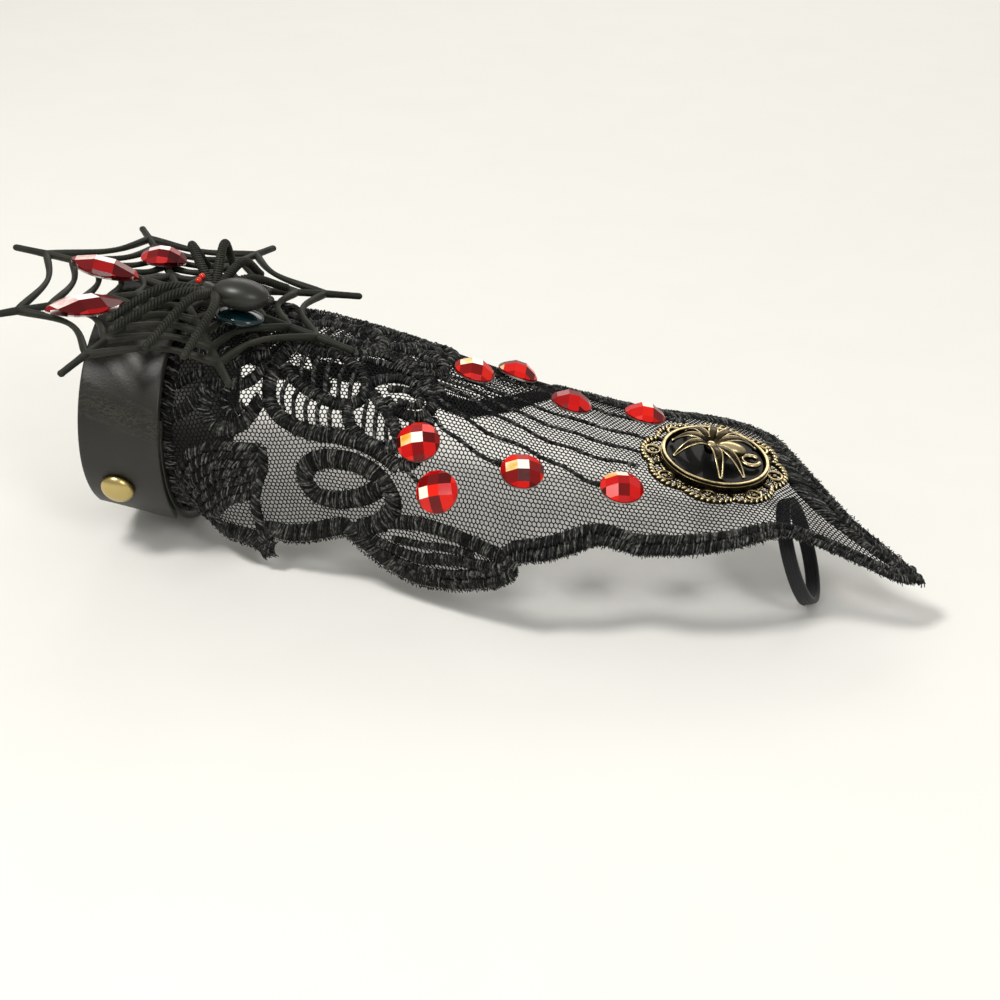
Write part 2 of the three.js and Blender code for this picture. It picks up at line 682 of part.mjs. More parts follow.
function web() {
  const spokes = WEB_SPOKES.map((spoke) => wire(webSpoke(spoke), WEB_SPOKE_RADIUS, WEB_WIRE_SIDES));
  const rings = WEB_RINGS.map((ring) => wire(webRing(ring), WEB_WIRE_RADIUS, WEB_WIRE_SIDES, true));
  return joined([...spokes, ...rings]);
}

const webTurn = new THREE.Quaternion().setFromAxisAngle(new THREE.Vector3(0, 1, 0), rad(WEB_TILT));

// The height of the strap or the lace above a place in plan, where one of them lies
function topAbove(x, y) {
  if (x < -BAND_WIDTH / 2 - WEB_SPOKE_RADIUS) return -Infinity;
  const section = formSection(x);
  const offset = Math.abs(x) < BAND_WIDTH / 2 + WEB_SPOKE_RADIUS ? bandTop : laceFace;
  const side = y - section.centre.y;
  const share = side / (sideWidth(section, side) + offset);
  if (Math.abs(share) >= 1) return -Infinity;
  return section.centre.z + (section.halfHeight + offset) * Math.sqrt(1 - share * share);
}

// The web lies as low as the strap and the lace under it let it.
function webHub() {
  const hub = new THREE.Vector3(WEB_FORWARD, WEB_SIDE, 0);
  const lines = [...WEB_SPOKES.map(webSpoke), ...WEB_RINGS.map(webRing)];
  const points = lines.flatMap((line) => new THREE.CatmullRomCurve3(line).getSpacedPoints(WEB_SEAT_SAMPLES));
  const heights = points.map((point) => {
    const place = point.applyQuaternion(webTurn).add(hub);
    return topAbove(place.x, place.y) + SEAT_GAP + WEB_SPOKE_RADIUS - place.z;
  });
  hub.z = Math.max(...heights);
  return hub;
}

// Spider of the web, made above the web's own plane

const webTop = WEB_SPOKE_RADIUS + SEAT_GAP;

// The highest that the web's wires reach within a radius of a place on it
function webSeat(x, y, radius) {
  const share = Math.max(Math.hypot(x, y) - radius, 0) / WEB_RADIUS;
  return webTop - WEB_DOME * share * share;
}

const padSeat = webSeat(SPIDER_FORWARD + SPIDER_ABDOMEN_BACK, SPIDER_SIDE, PAD_LENGTH / 2);
const bodyMiddle = padSeat + PAD_HEIGHT + SEAT_GAP + SPIDER_ABDOMEN_HEIGHT / 2;
const spiderHead = new THREE.Vector3(-SPIDER_HEAD_FORWARD, 0, bodyMiddle - SPIDER_HEAD_DROP);

function webSpider() {
  const head = egg(SPIDER_HEAD_LENGTH, SPIDER_HEAD_WIDTH, SPIDER_HEAD_HEIGHT, 10);
  head.translate(spiderHead.x, spiderHead.y, spiderHead.z);
  const abdomen = egg(SPIDER_ABDOMEN_LENGTH, SPIDER_ABDOMEN_WIDTH, SPIDER_ABDOMEN_HEIGHT, 14);
  abdomen.translate(SPIDER_ABDOMEN_BACK, 0, bodyMiddle);
  const nub = egg(SPIDER_NUB_LENGTH, SPIDER_NUB_WIDTH, SPIDER_NUB_WIDTH, 6);
  nub.translate(SPIDER_ABDOMEN_BACK + SPIDER_ABDOMEN_LENGTH / 2, 0, bodyMiddle);
  const legs = SPIDER_LEGS.map((leg) => {
    const reach = SPIDER_LEG_REACH;
    const root = new THREE.Vector3(-SPIDER_LEG_ROOT_FORWARD, 0, bodyMiddle - SPIDER_LEG_ROOT_DROP);
    const knee = new THREE.Vector3(leg.kneeX * reach, leg.kneeY * reach, leg.kneeRise * reach);
    const foot = new THREE.Vector3(leg.footX * reach, leg.footY * reach, SPIDER_LEG_RADIUS);
    foot.z += webSeat(SPIDER_FORWARD + foot.x, SPIDER_SIDE + foot.y, SPIDER_LEG_RADIUS);
    const curve = new THREE.CatmullRomCurve3([root, knee, foot], false, 'catmullrom', 0.4);
    return wire(curve.getSpacedPoints(5), SPIDER_LEG_RADIUS, 6);
  });
  return joined([abdomen, head, nub, ...legs]);
}

// An eye rests on the head's egg, forward and up from its middle.
function spiderEye(side) {
  const way = new THREE.Vector3(-0.42, side * 0.4, 0.85).normalize();
  const halfSizes = new THREE.Vector3(SPIDER_HEAD_LENGTH, SPIDER_HEAD_WIDTH, SPIDER_HEAD_HEIGHT);
  halfSizes.divideScalar(2);
  const reach = 1 / way.clone().divide(halfSizes).length() + SPIDER_EYE_RADIUS + SEAT_GAP;
  const place = spiderHead.clone().addScaledVector(way, reach);
  return new THREE.SphereGeometry(SPIDER_EYE_RADIUS, 8, 5).translate(place.x, place.y, place.z);
}

function spiderPad() {
  const half = Math.PI / 2;
  const profile = [new THREE.Vector2(0, 0), new THREE.Vector2(1, 0)];
  for (let i = 1; i <= 4; i += 1) {
    const radius = i === 4 ? 0 : Math.cos((half * i) / 4);
    profile.push(new THREE.Vector2(radius, lerp(PAD_EDGE_SHARE, 1, Math.sin((half * i) / 4))));
  }
  const pad = new THREE.LatheGeometry(profile, 16).rotateX(half);
  pad.scale(PAD_LENGTH / 2, PAD_WIDTH / 2, PAD_HEIGHT);
  return pad.translate(SPIDER_ABDOMEN_BACK, 0, padSeat);
}

// Filigree setting

function filigreeRim() {
  const points = [];
  const count = FILIGREE_LOBES * 4;
  for (let i = 0; i < count; i += 1) {
    const angle = (2 * Math.PI * i) / count;
    const lobe = Math.abs(Math.cos((FILIGREE_LOBES * angle) / 2)) ** FILIGREE_LOBE_FULLNESS;
    const radius = FILIGREE_RADIUS - FILIGREE_WIRE_RADIUS - FILIGREE_LOBE_DEPTH * (1 - lobe);
    points.push(new THREE.Vector3(radius * Math.cos(angle), radius * Math.sin(angle), FILIGREE_WIRE_RADIUS));
  }
  return wire(points, FILIGREE_WIRE_RADIUS, 5, true);
}

function filigreeSetting() {
  const inner = BEZEL_RADIUS - BEZEL_WALL;
  const profile = [
    [inner - LEDGE_WIDTH, 0], [BEZEL_RADIUS, 0], [BEZEL_RADIUS, BEZEL_HEIGHT],
    [inner, BEZEL_HEIGHT], [inner, LEDGE_HEIGHT], [inner - LEDGE_WIDTH, LEDGE_HEIGHT],
    [inner - LEDGE_WIDTH, 0],
  ].map(([radius, height]) => new THREE.Vector2(radius, height));
  const pieces = [new THREE.LatheGeometry(profile, 24).rotateX(Math.PI / 2), filigreeRim()];
  const rimInside = FILIGREE_RADIUS - 2 * FILIGREE_WIRE_RADIUS;
  const ringPlace = (BEZEL_RADIUS + rimInside) / 2;
  const ringRadius = (rimInside - BEZEL_RADIUS) / 2;
  for (let i = 0; i < FILIGREE_LOBES; i += 1) {
    const angle = (2 * Math.PI * i) / FILIGREE_LOBES;
    const ring = new THREE.TorusGeometry(ringRadius, FILIGREE_RING_WIRE_RADIUS, 5, 8);
    ring.translate(ringPlace * Math.cos(angle), ringPlace * Math.sin(angle), FILIGREE_WIRE_RADIUS);
    const between = angle + Math.PI / FILIGREE_LOBES;
    const strutEnds = [inner, FILIGREE_RADIUS - FILIGREE_LOBE_DEPTH - FILIGREE_WIRE_RADIUS];
    const strutPoints = strutEnds.map((radius) => new THREE.Vector3(radius, 0, FILIGREE_WIRE_RADIUS));
    const strut = wire(strutPoints, FILIGREE_RING_WIRE_RADIUS, 5);
    pieces.push(ring, strut.rotateZ(between));
  }
  return joined(pieces);
}

const discTop = LEDGE_HEIGHT + SEAT_GAP + DISC_THICKNESS;
const discRadius = BEZEL_RADIUS - BEZEL_WALL - SEAT_GAP;

function settingDisc() {
  const disc = new THREE.CylinderGeometry(discRadius, discRadius, DISC_THICKNESS, 24);
  return disc.rotateX(Math.PI / 2).translate(0, 0, discTop - DISC_THICKNESS / 2);
}

function charmSpider() {
  const floor = discTop + SEAT_GAP;
  const headX = -CHARM_HEAD_RADIUS;
  const headZ = floor + CHARM_ARCH;
  const head = new THREE.SphereGeometry(CHARM_HEAD_RADIUS, 10, 6).translate(headX, 0, headZ);
  const abdomenX = headX + CHARM_HEAD_RADIUS - CHARM_ABDOMEN_INSET + CHARM_ABDOMEN_LENGTH / 2;
  const abdomen = egg(CHARM_ABDOMEN_LENGTH, CHARM_ABDOMEN_WIDTH, CHARM_ABDOMEN_HEIGHT, 10);
  abdomen.translate(abdomenX, 0, floor + CHARM_ABDOMEN_HEIGHT / 2);
  const loop = new THREE.TorusGeometry(CHARM_LOOP_RADIUS, CHARM_LOOP_WIRE_RADIUS, 5, 12);
  const loopX = abdomenX + CHARM_ABDOMEN_LENGTH / 2 + CHARM_LOOP_RADIUS - CHARM_LOOP_WIRE_RADIUS;
  loop.translate(Math.min(loopX, discRadius - CHARM_LOOP_RADIUS - CHARM_LOOP_WIRE_RADIUS), 0,
    floor + CHARM_LOOP_WIRE_RADIUS);
  const legs = CHARM_LEG_TURNS.map((turn) => {
    const reach = discRadius - CHARM_LEG_RADIUS - SEAT_GAP;
    const foot = new THREE.Vector3(reach * Math.cos(rad(turn)), reach * Math.sin(rad(turn)), 0);
    foot.z = floor + CHARM_LEG_RADIUS;
    const root = new THREE.Vector3(headX, 0, headZ);
    const knee = root.clone().lerp(foot, CHARM_KNEE_SHARE).setZ(headZ + CHARM_KNEE_RISE);
    const curve = new THREE.QuadraticBezierCurve3(root, knee, foot);
    return wire(curve.getSpacedPoints(4), CHARM_LEG_RADIUS, 5);
  });
  return joined([head, abdomen, loop, ...legs]);
}

// Elastic finger loop, made round its own middle in the Y-Z plane

function fingerLoop() {
  const half = LOOP_WIDTH / 2;
  const inner = LOOP_INNER_RADIUS;
  const outer = LOOP_INNER_RADIUS + LOOP_THICKNESS;
  const rings = [];
  for (let i = 0; i < LOOP_SEGMENTS; i += 1) {
    const angle = (2 * Math.PI * i) / LOOP_SEGMENTS;
    const at = (x, radius) => new THREE.Vector3(x, radius * Math.sin(angle), radius * Math.cos(angle));
    rings.push([at(-half, inner), at(half, inner), at(half, outer), at(-half, outer)]);
  }
  return geometryOf(solidOf(loft(rings, true)));
}

// Assembly

const finishes = {
  black_leather: { color: 0x24231f, roughness: 0.45, metalness: 0 },
  antique_brass: { color: 0xb09442, roughness: 0.25, metalness: 1 },
  black_lace: { color: 0x17171a, roughness: 0.9, metalness: 0 },
  black_elastic: { color: 0x121214, roughness: 0.8, metalness: 0 },
  black_cast_metal: { color: 0x3a3b34, roughness: 0.6, metalness: 0.2 },
  red_stone: { color: 0xc01820, roughness: 0.08, metalness: 0.1 },
  bronze: { color: 0x8a7446, roughness: 0.35, metalness: 1 },
  black_glass: { color: 0x0b0c0c, roughness: 0.05, metalness: 0 },
  teal_glass: { color: 0x1f4f52, roughness: 0.05, metalness: 0 },
  eye_bead: { color: 0xd8441c, roughness: 0.2, metalness: 0 },
};

const cuff = new THREE.Group();

function add(name, geometry, finish, parent = cuff) {
  const mesh = new THREE.Mesh(geometry, new THREE.MeshStandardMaterial(finishes[finish]));
  mesh.name = name;
  parent.add(mesh);
  return mesh;
}

// A group that stands on a seat, with its own Z along the normal and its own X forward.
function standing(seat, parent = cuff) {
  const group = new THREE.Group();
  const across = new THREE.Vector3().crossVectors(seat.normal, new THREE.Vector3(1, 0, 0)).normalize();
  const along = new THREE.Vector3().crossVectors(across, seat.normal);
  group.quaternion.setFromRotationMatrix(new THREE.Matrix4().makeBasis(along, across, seat.normal));
  group.position.copy(seat.base);
  parent.add(group);
  return group;
}

add('wrist_band', wristBand(), 'black_leather');
const stud = studFrame(innerLayer - SEAT_GAP - STUD_BACK_THICKNESS);
add('band_stud', bandStud(), 'antique_brass', standing(stud));
add('lace_panel', lacePanel(), 'black_lace');

LACE_STONES.forEach((place, i) => {
  const seat = laceSeat(place, STONE_DIAMETER / 2);
  add(`lace_stone_${i + 1}`, roundStone(), 'red_stone', standing(seat));
});

const setting = standing(laceSeat(SETTING_PLACE, FILIGREE_RADIUS));
add('filigree_setting', filigreeSetting(), 'bronze', setting);
add('setting_disc', settingDisc(), 'black_glass', setting);
add('charm_spider', charmSpider(), 'bronze', setting);

const webGroup = new THREE.Group();
webGroup.quaternion.copy(webTurn);
webGroup.position.copy(webHub());
cuff.add(webGroup);
add('web', web(), 'black_cast_metal', webGroup);

const spiderGroup = new THREE.Group();
spiderGroup.position.set(SPIDER_FORWARD, SPIDER_SIDE, 0);
webGroup.add(spiderGroup);
add('web_spider', webSpider(), 'black_cast_metal', spiderGroup);
add('spider_pad', spiderPad(), 'teal_glass', spiderGroup);
add('spider_eye_left', spiderEye(1), 'eye_bead', spiderGroup);
add('spider_eye_right', spiderEye(-1), 'eye_bead', spiderGroup);

function onWeb(name, geometry, place) {
  const stone = add(name, geometry, 'red_stone', webGroup);
  const x = place.x * WEB_RADIUS;
  const y = place.y * WEB_RADIUS;
  stone.rotation.z = rad(place.turn);
  stone.position.set(x, y, webSeat(x, y, NAVETTE_LENGTH / 2));
}
WEB_NAVETTES.forEach((place, i) => onWeb(`web_navette_${i + 1}`, navetteStone(), place));
onWeb('web_drop', dropStone(), WEB_DROP);

const loopX = LOOP_PLACE.along * CUFF_REACH;
const loopAcross = LOOP_PLACE.across * LACE_HALF_WIDTH;
const loopNormal = formNormal(loopX, loopAcross);
const loopSeat = standing({ base: formSurface(loopX, loopAcross), normal: loopNormal });
const loop = add('finger_loop', fingerLoop(), 'black_elastic', loopSeat);
const loopTilt = rad(LOOP_TILT);
const loopLift = SEAT_GAP + Math.sin(loopTilt) * (LOOP_WIDTH / 2);
const loopRadius = LOOP_INNER_RADIUS + LOOP_THICKNESS;
loop.rotation.y = -loopTilt;
loop.position.set(loopRadius * Math.sin(loopTilt), 0, -loopLift - loopRadius * Math.cos(loopTilt));

export default cuff;
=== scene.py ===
import math

import bmesh
import bpy
import numpy as np
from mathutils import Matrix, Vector


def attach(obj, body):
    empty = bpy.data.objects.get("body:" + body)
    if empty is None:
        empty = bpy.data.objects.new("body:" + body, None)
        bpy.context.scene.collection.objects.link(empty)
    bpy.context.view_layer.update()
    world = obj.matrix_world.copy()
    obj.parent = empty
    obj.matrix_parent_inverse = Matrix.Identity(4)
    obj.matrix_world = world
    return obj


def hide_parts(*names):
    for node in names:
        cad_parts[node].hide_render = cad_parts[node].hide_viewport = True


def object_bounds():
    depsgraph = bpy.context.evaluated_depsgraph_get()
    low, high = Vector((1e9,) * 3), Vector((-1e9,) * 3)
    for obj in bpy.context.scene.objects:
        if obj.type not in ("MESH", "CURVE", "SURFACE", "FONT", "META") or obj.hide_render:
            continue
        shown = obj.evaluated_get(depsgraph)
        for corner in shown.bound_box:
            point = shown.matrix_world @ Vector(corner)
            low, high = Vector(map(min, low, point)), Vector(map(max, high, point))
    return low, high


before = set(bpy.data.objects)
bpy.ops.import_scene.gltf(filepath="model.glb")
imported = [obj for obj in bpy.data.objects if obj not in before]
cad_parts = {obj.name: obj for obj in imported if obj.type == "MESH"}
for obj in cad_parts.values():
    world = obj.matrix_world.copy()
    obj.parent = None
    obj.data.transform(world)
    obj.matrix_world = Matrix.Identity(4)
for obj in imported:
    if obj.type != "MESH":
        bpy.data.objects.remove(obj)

# A lace cuff for the right side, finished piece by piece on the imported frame.
# Lengths are in millimetres up to the last step, where a mesh is written in metres.
# +X runs from the strap to the lace's point, +Z is up, and the longer hem is on the -Y side.
MM = 0.001
BODY = "root"
UP = (0.0, 0.0, 1.0)

# A turned or rounded shape ends this far from its pole, in radians or millimetres
POLE = 0.001
cad_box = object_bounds()
chance = np.random.default_rng(7)

# Sizes of the worn form, as in the frame
CUFF_REACH = 151.5
WRIST_HALF_WIDTH = 24
WRIST_HALF_HEIGHT = 19.5
FRONT_HALF_WIDTH = 39.5
FRONT_HALF_HEIGHT = 16
FRONT_SWEEP = 22.5
FRONT_DROP = 28
UNDERSIDE_SAG = 5
UNDERSIDE_LIFT = 2
BAND_WIDTH = 16
BAND_THICKNESS = 1.4
BAND_INNER_END_ANGLE = -76
BAND_OVERLAP_ANGLE = 55
BAND_STEP_ANGLE = 75
BAND_STEP_CLEAR_ANGLE = 5
SEAT_GAP = 0.3
BAND_EASE = 0.25
LACE_THICKNESS = 1.0
LACE_HALF_WIDTH = 42
SLOPE_STEP = 0.5

# The worn form, in shares of the sizes above: along, sweep, drop, spread, flatten,
# roll in degrees, and the half width on the +Y side as a share of the other
FORM = np.array([
    (-0.079, 0, 0, 0.02, 0, 0, 0.8),
    (0, 0, 0, 0, 0, 0, 0.8),
    (0.184, 0.067, 0.02, 0.03, 0.43, 0, 0.8),
    (0.366, 0.22, 0.15, 0.26, 0.77, 0, 0.71),
    (0.524, 0.4, 0.41, 0.71, 0.75, 3, 0.77),
    (0.647, 0.555, 0.555, 0.93, 0.86, 5, 0.87),
    (0.741, 0.69, 0.625, 1, 1, 5, 0.98),
    (0.837, 0.82, 0.715, 1, 1.14, 4, 1),
    (0.926, 0.955, 0.89, 0.97, 1.28, 2, 1),
    (1.018, 1.09, 1.2, 0.9, 1.4, 0, 1),
])
FORM_BEFORE = FORM[np.maximum(np.arange(len(FORM)) - 1, 0)]
FORM_AFTER = FORM[np.minimum(np.arange(len(FORM)) + 1, len(FORM) - 1)]
FORM_SLOPES = (FORM_AFTER - FORM_BEFORE) / (FORM_AFTER[:, :1] - FORM_BEFORE[:, :1])


# Worn form

def smoothstep(value, start, end):
    u = np.clip((value - start) / (end - start), 0, 1)
    return u * u * (3 - 2 * u)


def form_section(x, side):
    """Half width on a side, half height, centre, roll, sag and hang of the form's section at x."""
    share = x / CUFF_REACH
    row = np.clip(np.searchsorted(FORM[:, 0], share) - 1, 0, len(FORM) - 2)
    span = (FORM[row + 1, 0] - FORM[row, 0])[..., None]
    u = (share[..., None] - FORM[row, :1]) / span
    value = (1 + 2 * u) * (1 - u) ** 2 * FORM[row] + u * (1 - u) ** 2 * span * FORM_SLOPES[row]
    value = value + u * u * (3 - 2 * u) * FORM[row + 1] + u * u * (u - 1) * span * FORM_SLOPES[row + 1]
    half_width = WRIST_HALF_WIDTH + (FRONT_HALF_WIDTH - WRIST_HALF_WIDTH) * value[..., 3]
    half_height = WRIST_HALF_HEIGHT + (FRONT_HALF_HEIGHT - WRIST_HALF_HEIGHT) * value[..., 4]
    centre = np.stack([x, -FRONT_SWEEP * value[..., 1], -FRONT_DROP * value[..., 2]], -1)
    edge = BAND_WIDTH / 2
    sag = UNDERSIDE_SAG * np.clip((x + edge) / BAND_WIDTH, 0, 1) - UNDERSIDE_LIFT
    hang = smoothstep(x, edge, edge + BAND_WIDTH)
    half_width = np.where(side > 0, half_width * (1 + (value[..., 6] - 1) * hang), half_width)
    return half_width, half_height, centre, np.radians(value[..., 5]), sag, hang


def in_section(centre, roll, y, z):
    c, s = np.cos(roll), np.sin(roll)
    return centre + np.stack([np.zeros_like(y), y * c - z * s, z * c + y * s], -1)


def form_surface(x, across):
    """The form's surface at x, and at the length across that is measured over it from its crest."""
    x, across = np.broadcast_arrays(np.asarray(x, float), np.asarray(across, float))
    half_width, half_height, centre, roll, sag, hang = form_section(x, across)
    below = np.abs(across) - math.pi / 4 * (half_width + half_height)
    height = np.where(below > 0, half_height + sag, half_height)
    past_side = math.pi / 2 + 2 * below / (half_width + height)
    turn = np.where(below > 0, past_side, 2 * np.abs(across) / (half_width + half_height))
    squash = (half_width - height) / (half_width + height)
    angle = turn - 0.5 * squash * np.sin(2 * turn)
    y = half_width * np.sin(angle)
    z = height * np.cos(angle)
    y = np.where(below > 0, y + (half_width - y) * hang, y)
    z = np.where(below > 0, z + (-below - z) * hang, z)
    return in_section(centre, roll, np.sign(across) * y, z)


def form_normal(x, across):
    along = form_surface(x + SLOPE_STEP, across) - form_surface(x - SLOPE_STEP, across)
    over = form_surface(x, across + SLOPE_STEP) - form_surface(x, across - SLOPE_STEP)
    return unit(np.cross(along, over))


def unit(vectors):
    return vectors / np.maximum(np.linalg.norm(vectors, axis=-1, keepdims=True), 1e-9)


def ring_point(x, angle, offset):
    """A point of the strap's run, at an angle round the form and an offset out from it."""
    half_width, half_height, centre, roll, sag, _ = form_section(np.asarray(x, float), np.sin(angle))
    height = np.where(np.cos(angle) < 0, half_height + sag, half_height)
    out = unit(np.stack([np.sin(angle) / half_width, np.cos(angle) / height], -1))
    y = half_width * np.sin(angle) + out[..., 0] * offset
    z = height * np.cos(angle) + out[..., 1] * offset
    return in_section(centre, roll, y, z)


# The lace is laid out flat as (along, across): along is the length over the crest from the
# middle of the strap, and across the length over the form from its crest.
CREST_X = np.linspace(-12, 152, 657)
CREST_STEPS = np.linalg.norm(np.diff(form_surface(CREST_X, 0 * CREST_X), axis=0), axis=-1)
CREST_LENGTH = np.concatenate([[0], np.cumsum(CREST_STEPS)])
CREST_LENGTH -= np.interp(0, CREST_X, CREST_LENGTH)


def on_lace(flat, height=0.0):
    """The place in space of flat points, at a height over the worn form."""
    x = np.interp(flat[..., 0], CREST_LENGTH, CREST_X)
    normal = form_normal(x, flat[..., 1])
    return form_surface(x, flat[..., 1]) + normal * np.asarray(height)[..., None], normal


# Meshes

def add_mesh(name, points, faces, materials, replaces=(), smooth=True):
    """A piece of the cuff from points in millimetres and faces of one number of corners."""
    mesh = bpy.data.meshes.new(name)
    points = np.asarray(points, float).reshape(-1, 3)
    faces = np.asarray(faces, int)
    mesh.vertices.add(len(points))
    mesh.vertices.foreach_set("co", (points * MM).ravel())
    mesh.loops.add(faces.size)
    mesh.loops.foreach_set("vertex_index", faces.ravel())
    mesh.polygons.add(len(faces))
    mesh.polygons.foreach_set("loop_start", np.arange(len(faces)) * faces.shape[1])
    mesh.polygons.foreach_set("use_smooth", np.full(len(faces), smooth))
    mesh.update(calc_edges=True)
    mesh.validate()
    return add_piece(name, mesh, materials, replaces)


def add_piece(name, mesh, materials, replaces=()):
    piece = bpy.data.objects.new(name, mesh)
    bpy.context.collection.objects.link(piece)
    for material in materials:
        mesh.materials.append(material)
    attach(piece, BODY)
    if replaces:
        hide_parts(*replaces)
    return piece


def add_parts(name, parts, material, replaces=(), place=np.asarray, smooth=True):
    """A piece joined from parts, each its points and faces, which place moves to where they stand."""
    points, faces = join(parts)
    return add_mesh(name, place(points), faces, [material], replaces, smooth)


def grid_faces(rows, columns, wrap_rows=False, wrap_columns=False):
    """Quads of a grid of rows by columns of points, closed round where it wraps."""
    i, j = np.meshgrid(
        np.arange(rows if wrap_rows else rows - 1),
        np.arange(columns if wrap_columns else columns - 1), indexing="ij",
    )
    i, j = i.ravel(), j.ravel()
    k, m = (i + 1) % rows, (j + 1) % columns
    return np.stack([i * columns + j, i * columns + m, k * columns + m, k * columns + j], -1)


def join(parts):
    """One set of points and faces from several."""
    points = []
    faces = []
    count = 0
    for some_points, some_faces in parts:
        some_points = np.asarray(some_points).reshape(-1, 3)
        points.append(some_points)
        faces.append(np.asarray(some_faces) + count)
        count += len(some_points)
    return np.concatenate(points), np.concatenate(faces)


def tubes(paths, radii, sides, ups=UP, flatten=1.0):
    """Round threads along many paths of the same number of points, or one wire along one path.
    Radii has one number for each point, and flatten squashes a thread along its up direction."""
    paths = np.asarray(paths, float)
    paths = paths.reshape(-1, *paths.shape[-2:])
    count, steps, _ = paths.shape
    radii = np.broadcast_to(np.asarray(radii, float), (count, steps))
    ups = np.broadcast_to(np.asarray(ups, float), paths.shape)
    run = np.empty_like(paths)
    run[:, 1:-1] = paths[:, 2:] - paths[:, :-2]
    run[:, 0] = paths[:, 1] - paths[:, 0]
    run[:, -1] = paths[:, -1] - paths[:, -2]
    run = unit(run)
    side = unit(np.cross(ups, run))
    rise = np.cross(run, side)
    turn = 2 * math.pi * np.arange(sides) / sides
    ring = (
        side[:, :, None] * np.cos(turn)[None, None, :, None]
        + rise[:, :, None] * flatten * np.sin(turn)[None, None, :, None]
    )
    points = paths[:, :, None] + ring * radii[:, :, None, None]
    one = grid_faces(steps, sides, wrap_columns=True)
    if sides == 4:
        ends = np.array([[3, 2, 1, 0], [0, 1, 2, 3]])
        ends[1] += (steps - 1) * sides
        one = np.concatenate([one, ends])
    faces = one[None] + (np.arange(count) * steps * sides)[:, None, None]
    return points.reshape(-1, 3), faces.reshape(-1, 4)


def loop_tube(path, radius, sides):
    """A closed round wire through a loop of points."""
    path = np.asarray(path, float)
    run = unit(np.roll(path, -1, 0) - np.roll(path, 1, 0))
    side = unit(np.cross(UP, run))
    rise = np.cross(run, side)
    turn = 2 * math.pi * np.arange(sides) / sides
    ring = side[:, None] * np.cos(turn)[:, None] + rise[:, None] * np.sin(turn)[:, None]
    radius = np.broadcast_to(np.asarray(radius, float), len(path))
    points = path[:, None] + ring * radius[:, None, None]
    return points, grid_faces(len(path), sides, wrap_rows=True, wrap_columns=True)


def ball(centre, radii, axes=None, across=12, down=8):
    """An egg of quads, with its half sizes along its three axes, or its radius."""
    radii = np.broadcast_to(np.asarray(radii, float), 3)
    theta = np.linspace(POLE, math.pi - POLE, down + 1)
    phi = 2 * math.pi * np.arange(across) / across
    local = np.stack([
        np.broadcast_to(np.cos(theta)[:, None], (down + 1, across)),
        np.sin(theta)[:, None] * np.cos(phi),
        np.sin(theta)[:, None] * np.sin(phi),
    ], -1) * radii
    axes = np.eye(3) if axes is None else np.asarray(axes)
    return local @ axes + np.asarray(centre), grid_faces(down + 1, across, wrap_columns=True)


def resample(path, step):
    """Points along a polyline, evenly about a step apart."""
    path = np.asarray(path, float)
    lengths = np.concatenate([[0], np.cumsum(np.linalg.norm(np.diff(path, axis=0), axis=-1))])
    count = max(int(round(lengths[-1] / step)), 1) + 1
    marks = np.linspace(0, lengths[-1], count)
    return np.stack([np.interp(marks, lengths, column) for column in path.T], -1)


def curve_through(points, steps=12):
    """A smooth curve through chosen points."""
    points = np.asarray(points, float)
    padded = np.concatenate([2 * points[:1] - points[1:2], points, 2 * points[-1:] - points[-2:-1]])
    u = np.arange(steps)[:, None] / steps
    out = []
    for a, b, c, d in zip(padded, padded[1:], padded[2:], padded[3:]):
        line = 2 * b + (c - a) * u
        bend = (2 * a - 5 * b + 4 * c - d) * u ** 2 + (3 * b - a - 3 * c + d) * u ** 3
        out.append(0.5 * (line + bend))
    out.append(points[-1:])
    return np.concatenate(out)


def outline_of(parts):
    """A line of smooth curves that meet in corners, each a list of chosen points."""
    runs = [curve_through(part) for part in parts]
    return np.concatenate([run[:-1] for run in runs[:-1]] + [runs[-1]])


# Shader maths

class Value:
    """A socket's value in a material, which Python's operators work on."""

    def __init__(self, tree, socket):
        self.tree = tree
        self.socket = socket

    def maths(self, operation, *others):
        node = self.tree.nodes.new("ShaderNodeMath")
        node.operation = operation
        for place, value in zip(node.inputs, (self, *others)):
            plug(self.tree, place, value)
        return Value(self.tree, node.outputs[0])

    def __add__(self, other):
        return self.maths("ADD", other)

    __radd__ = __add__

    def __mul__(self, other):
        return self.maths("MULTIPLY", other)

    __rmul__ = __mul__

    def __sub__(self, other):
        return self.maths("SUBTRACT", other)

    def __rsub__(self, other):
        return (self * -1) + other

    def __pow__(self, other):
        return self.maths("POWER", other)


def plug(tree, place, value):
    """Links a value to a node's input, or sets a number or colour on it."""
    if isinstance(value, Value):
        tree.links.new(value.socket, place)
    elif isinstance(value, (tuple, list)) and len(value) == 3 and len(place.default_value) == 4:
        place.default_value = (*value, 1)
    else:
        place.default_value = value


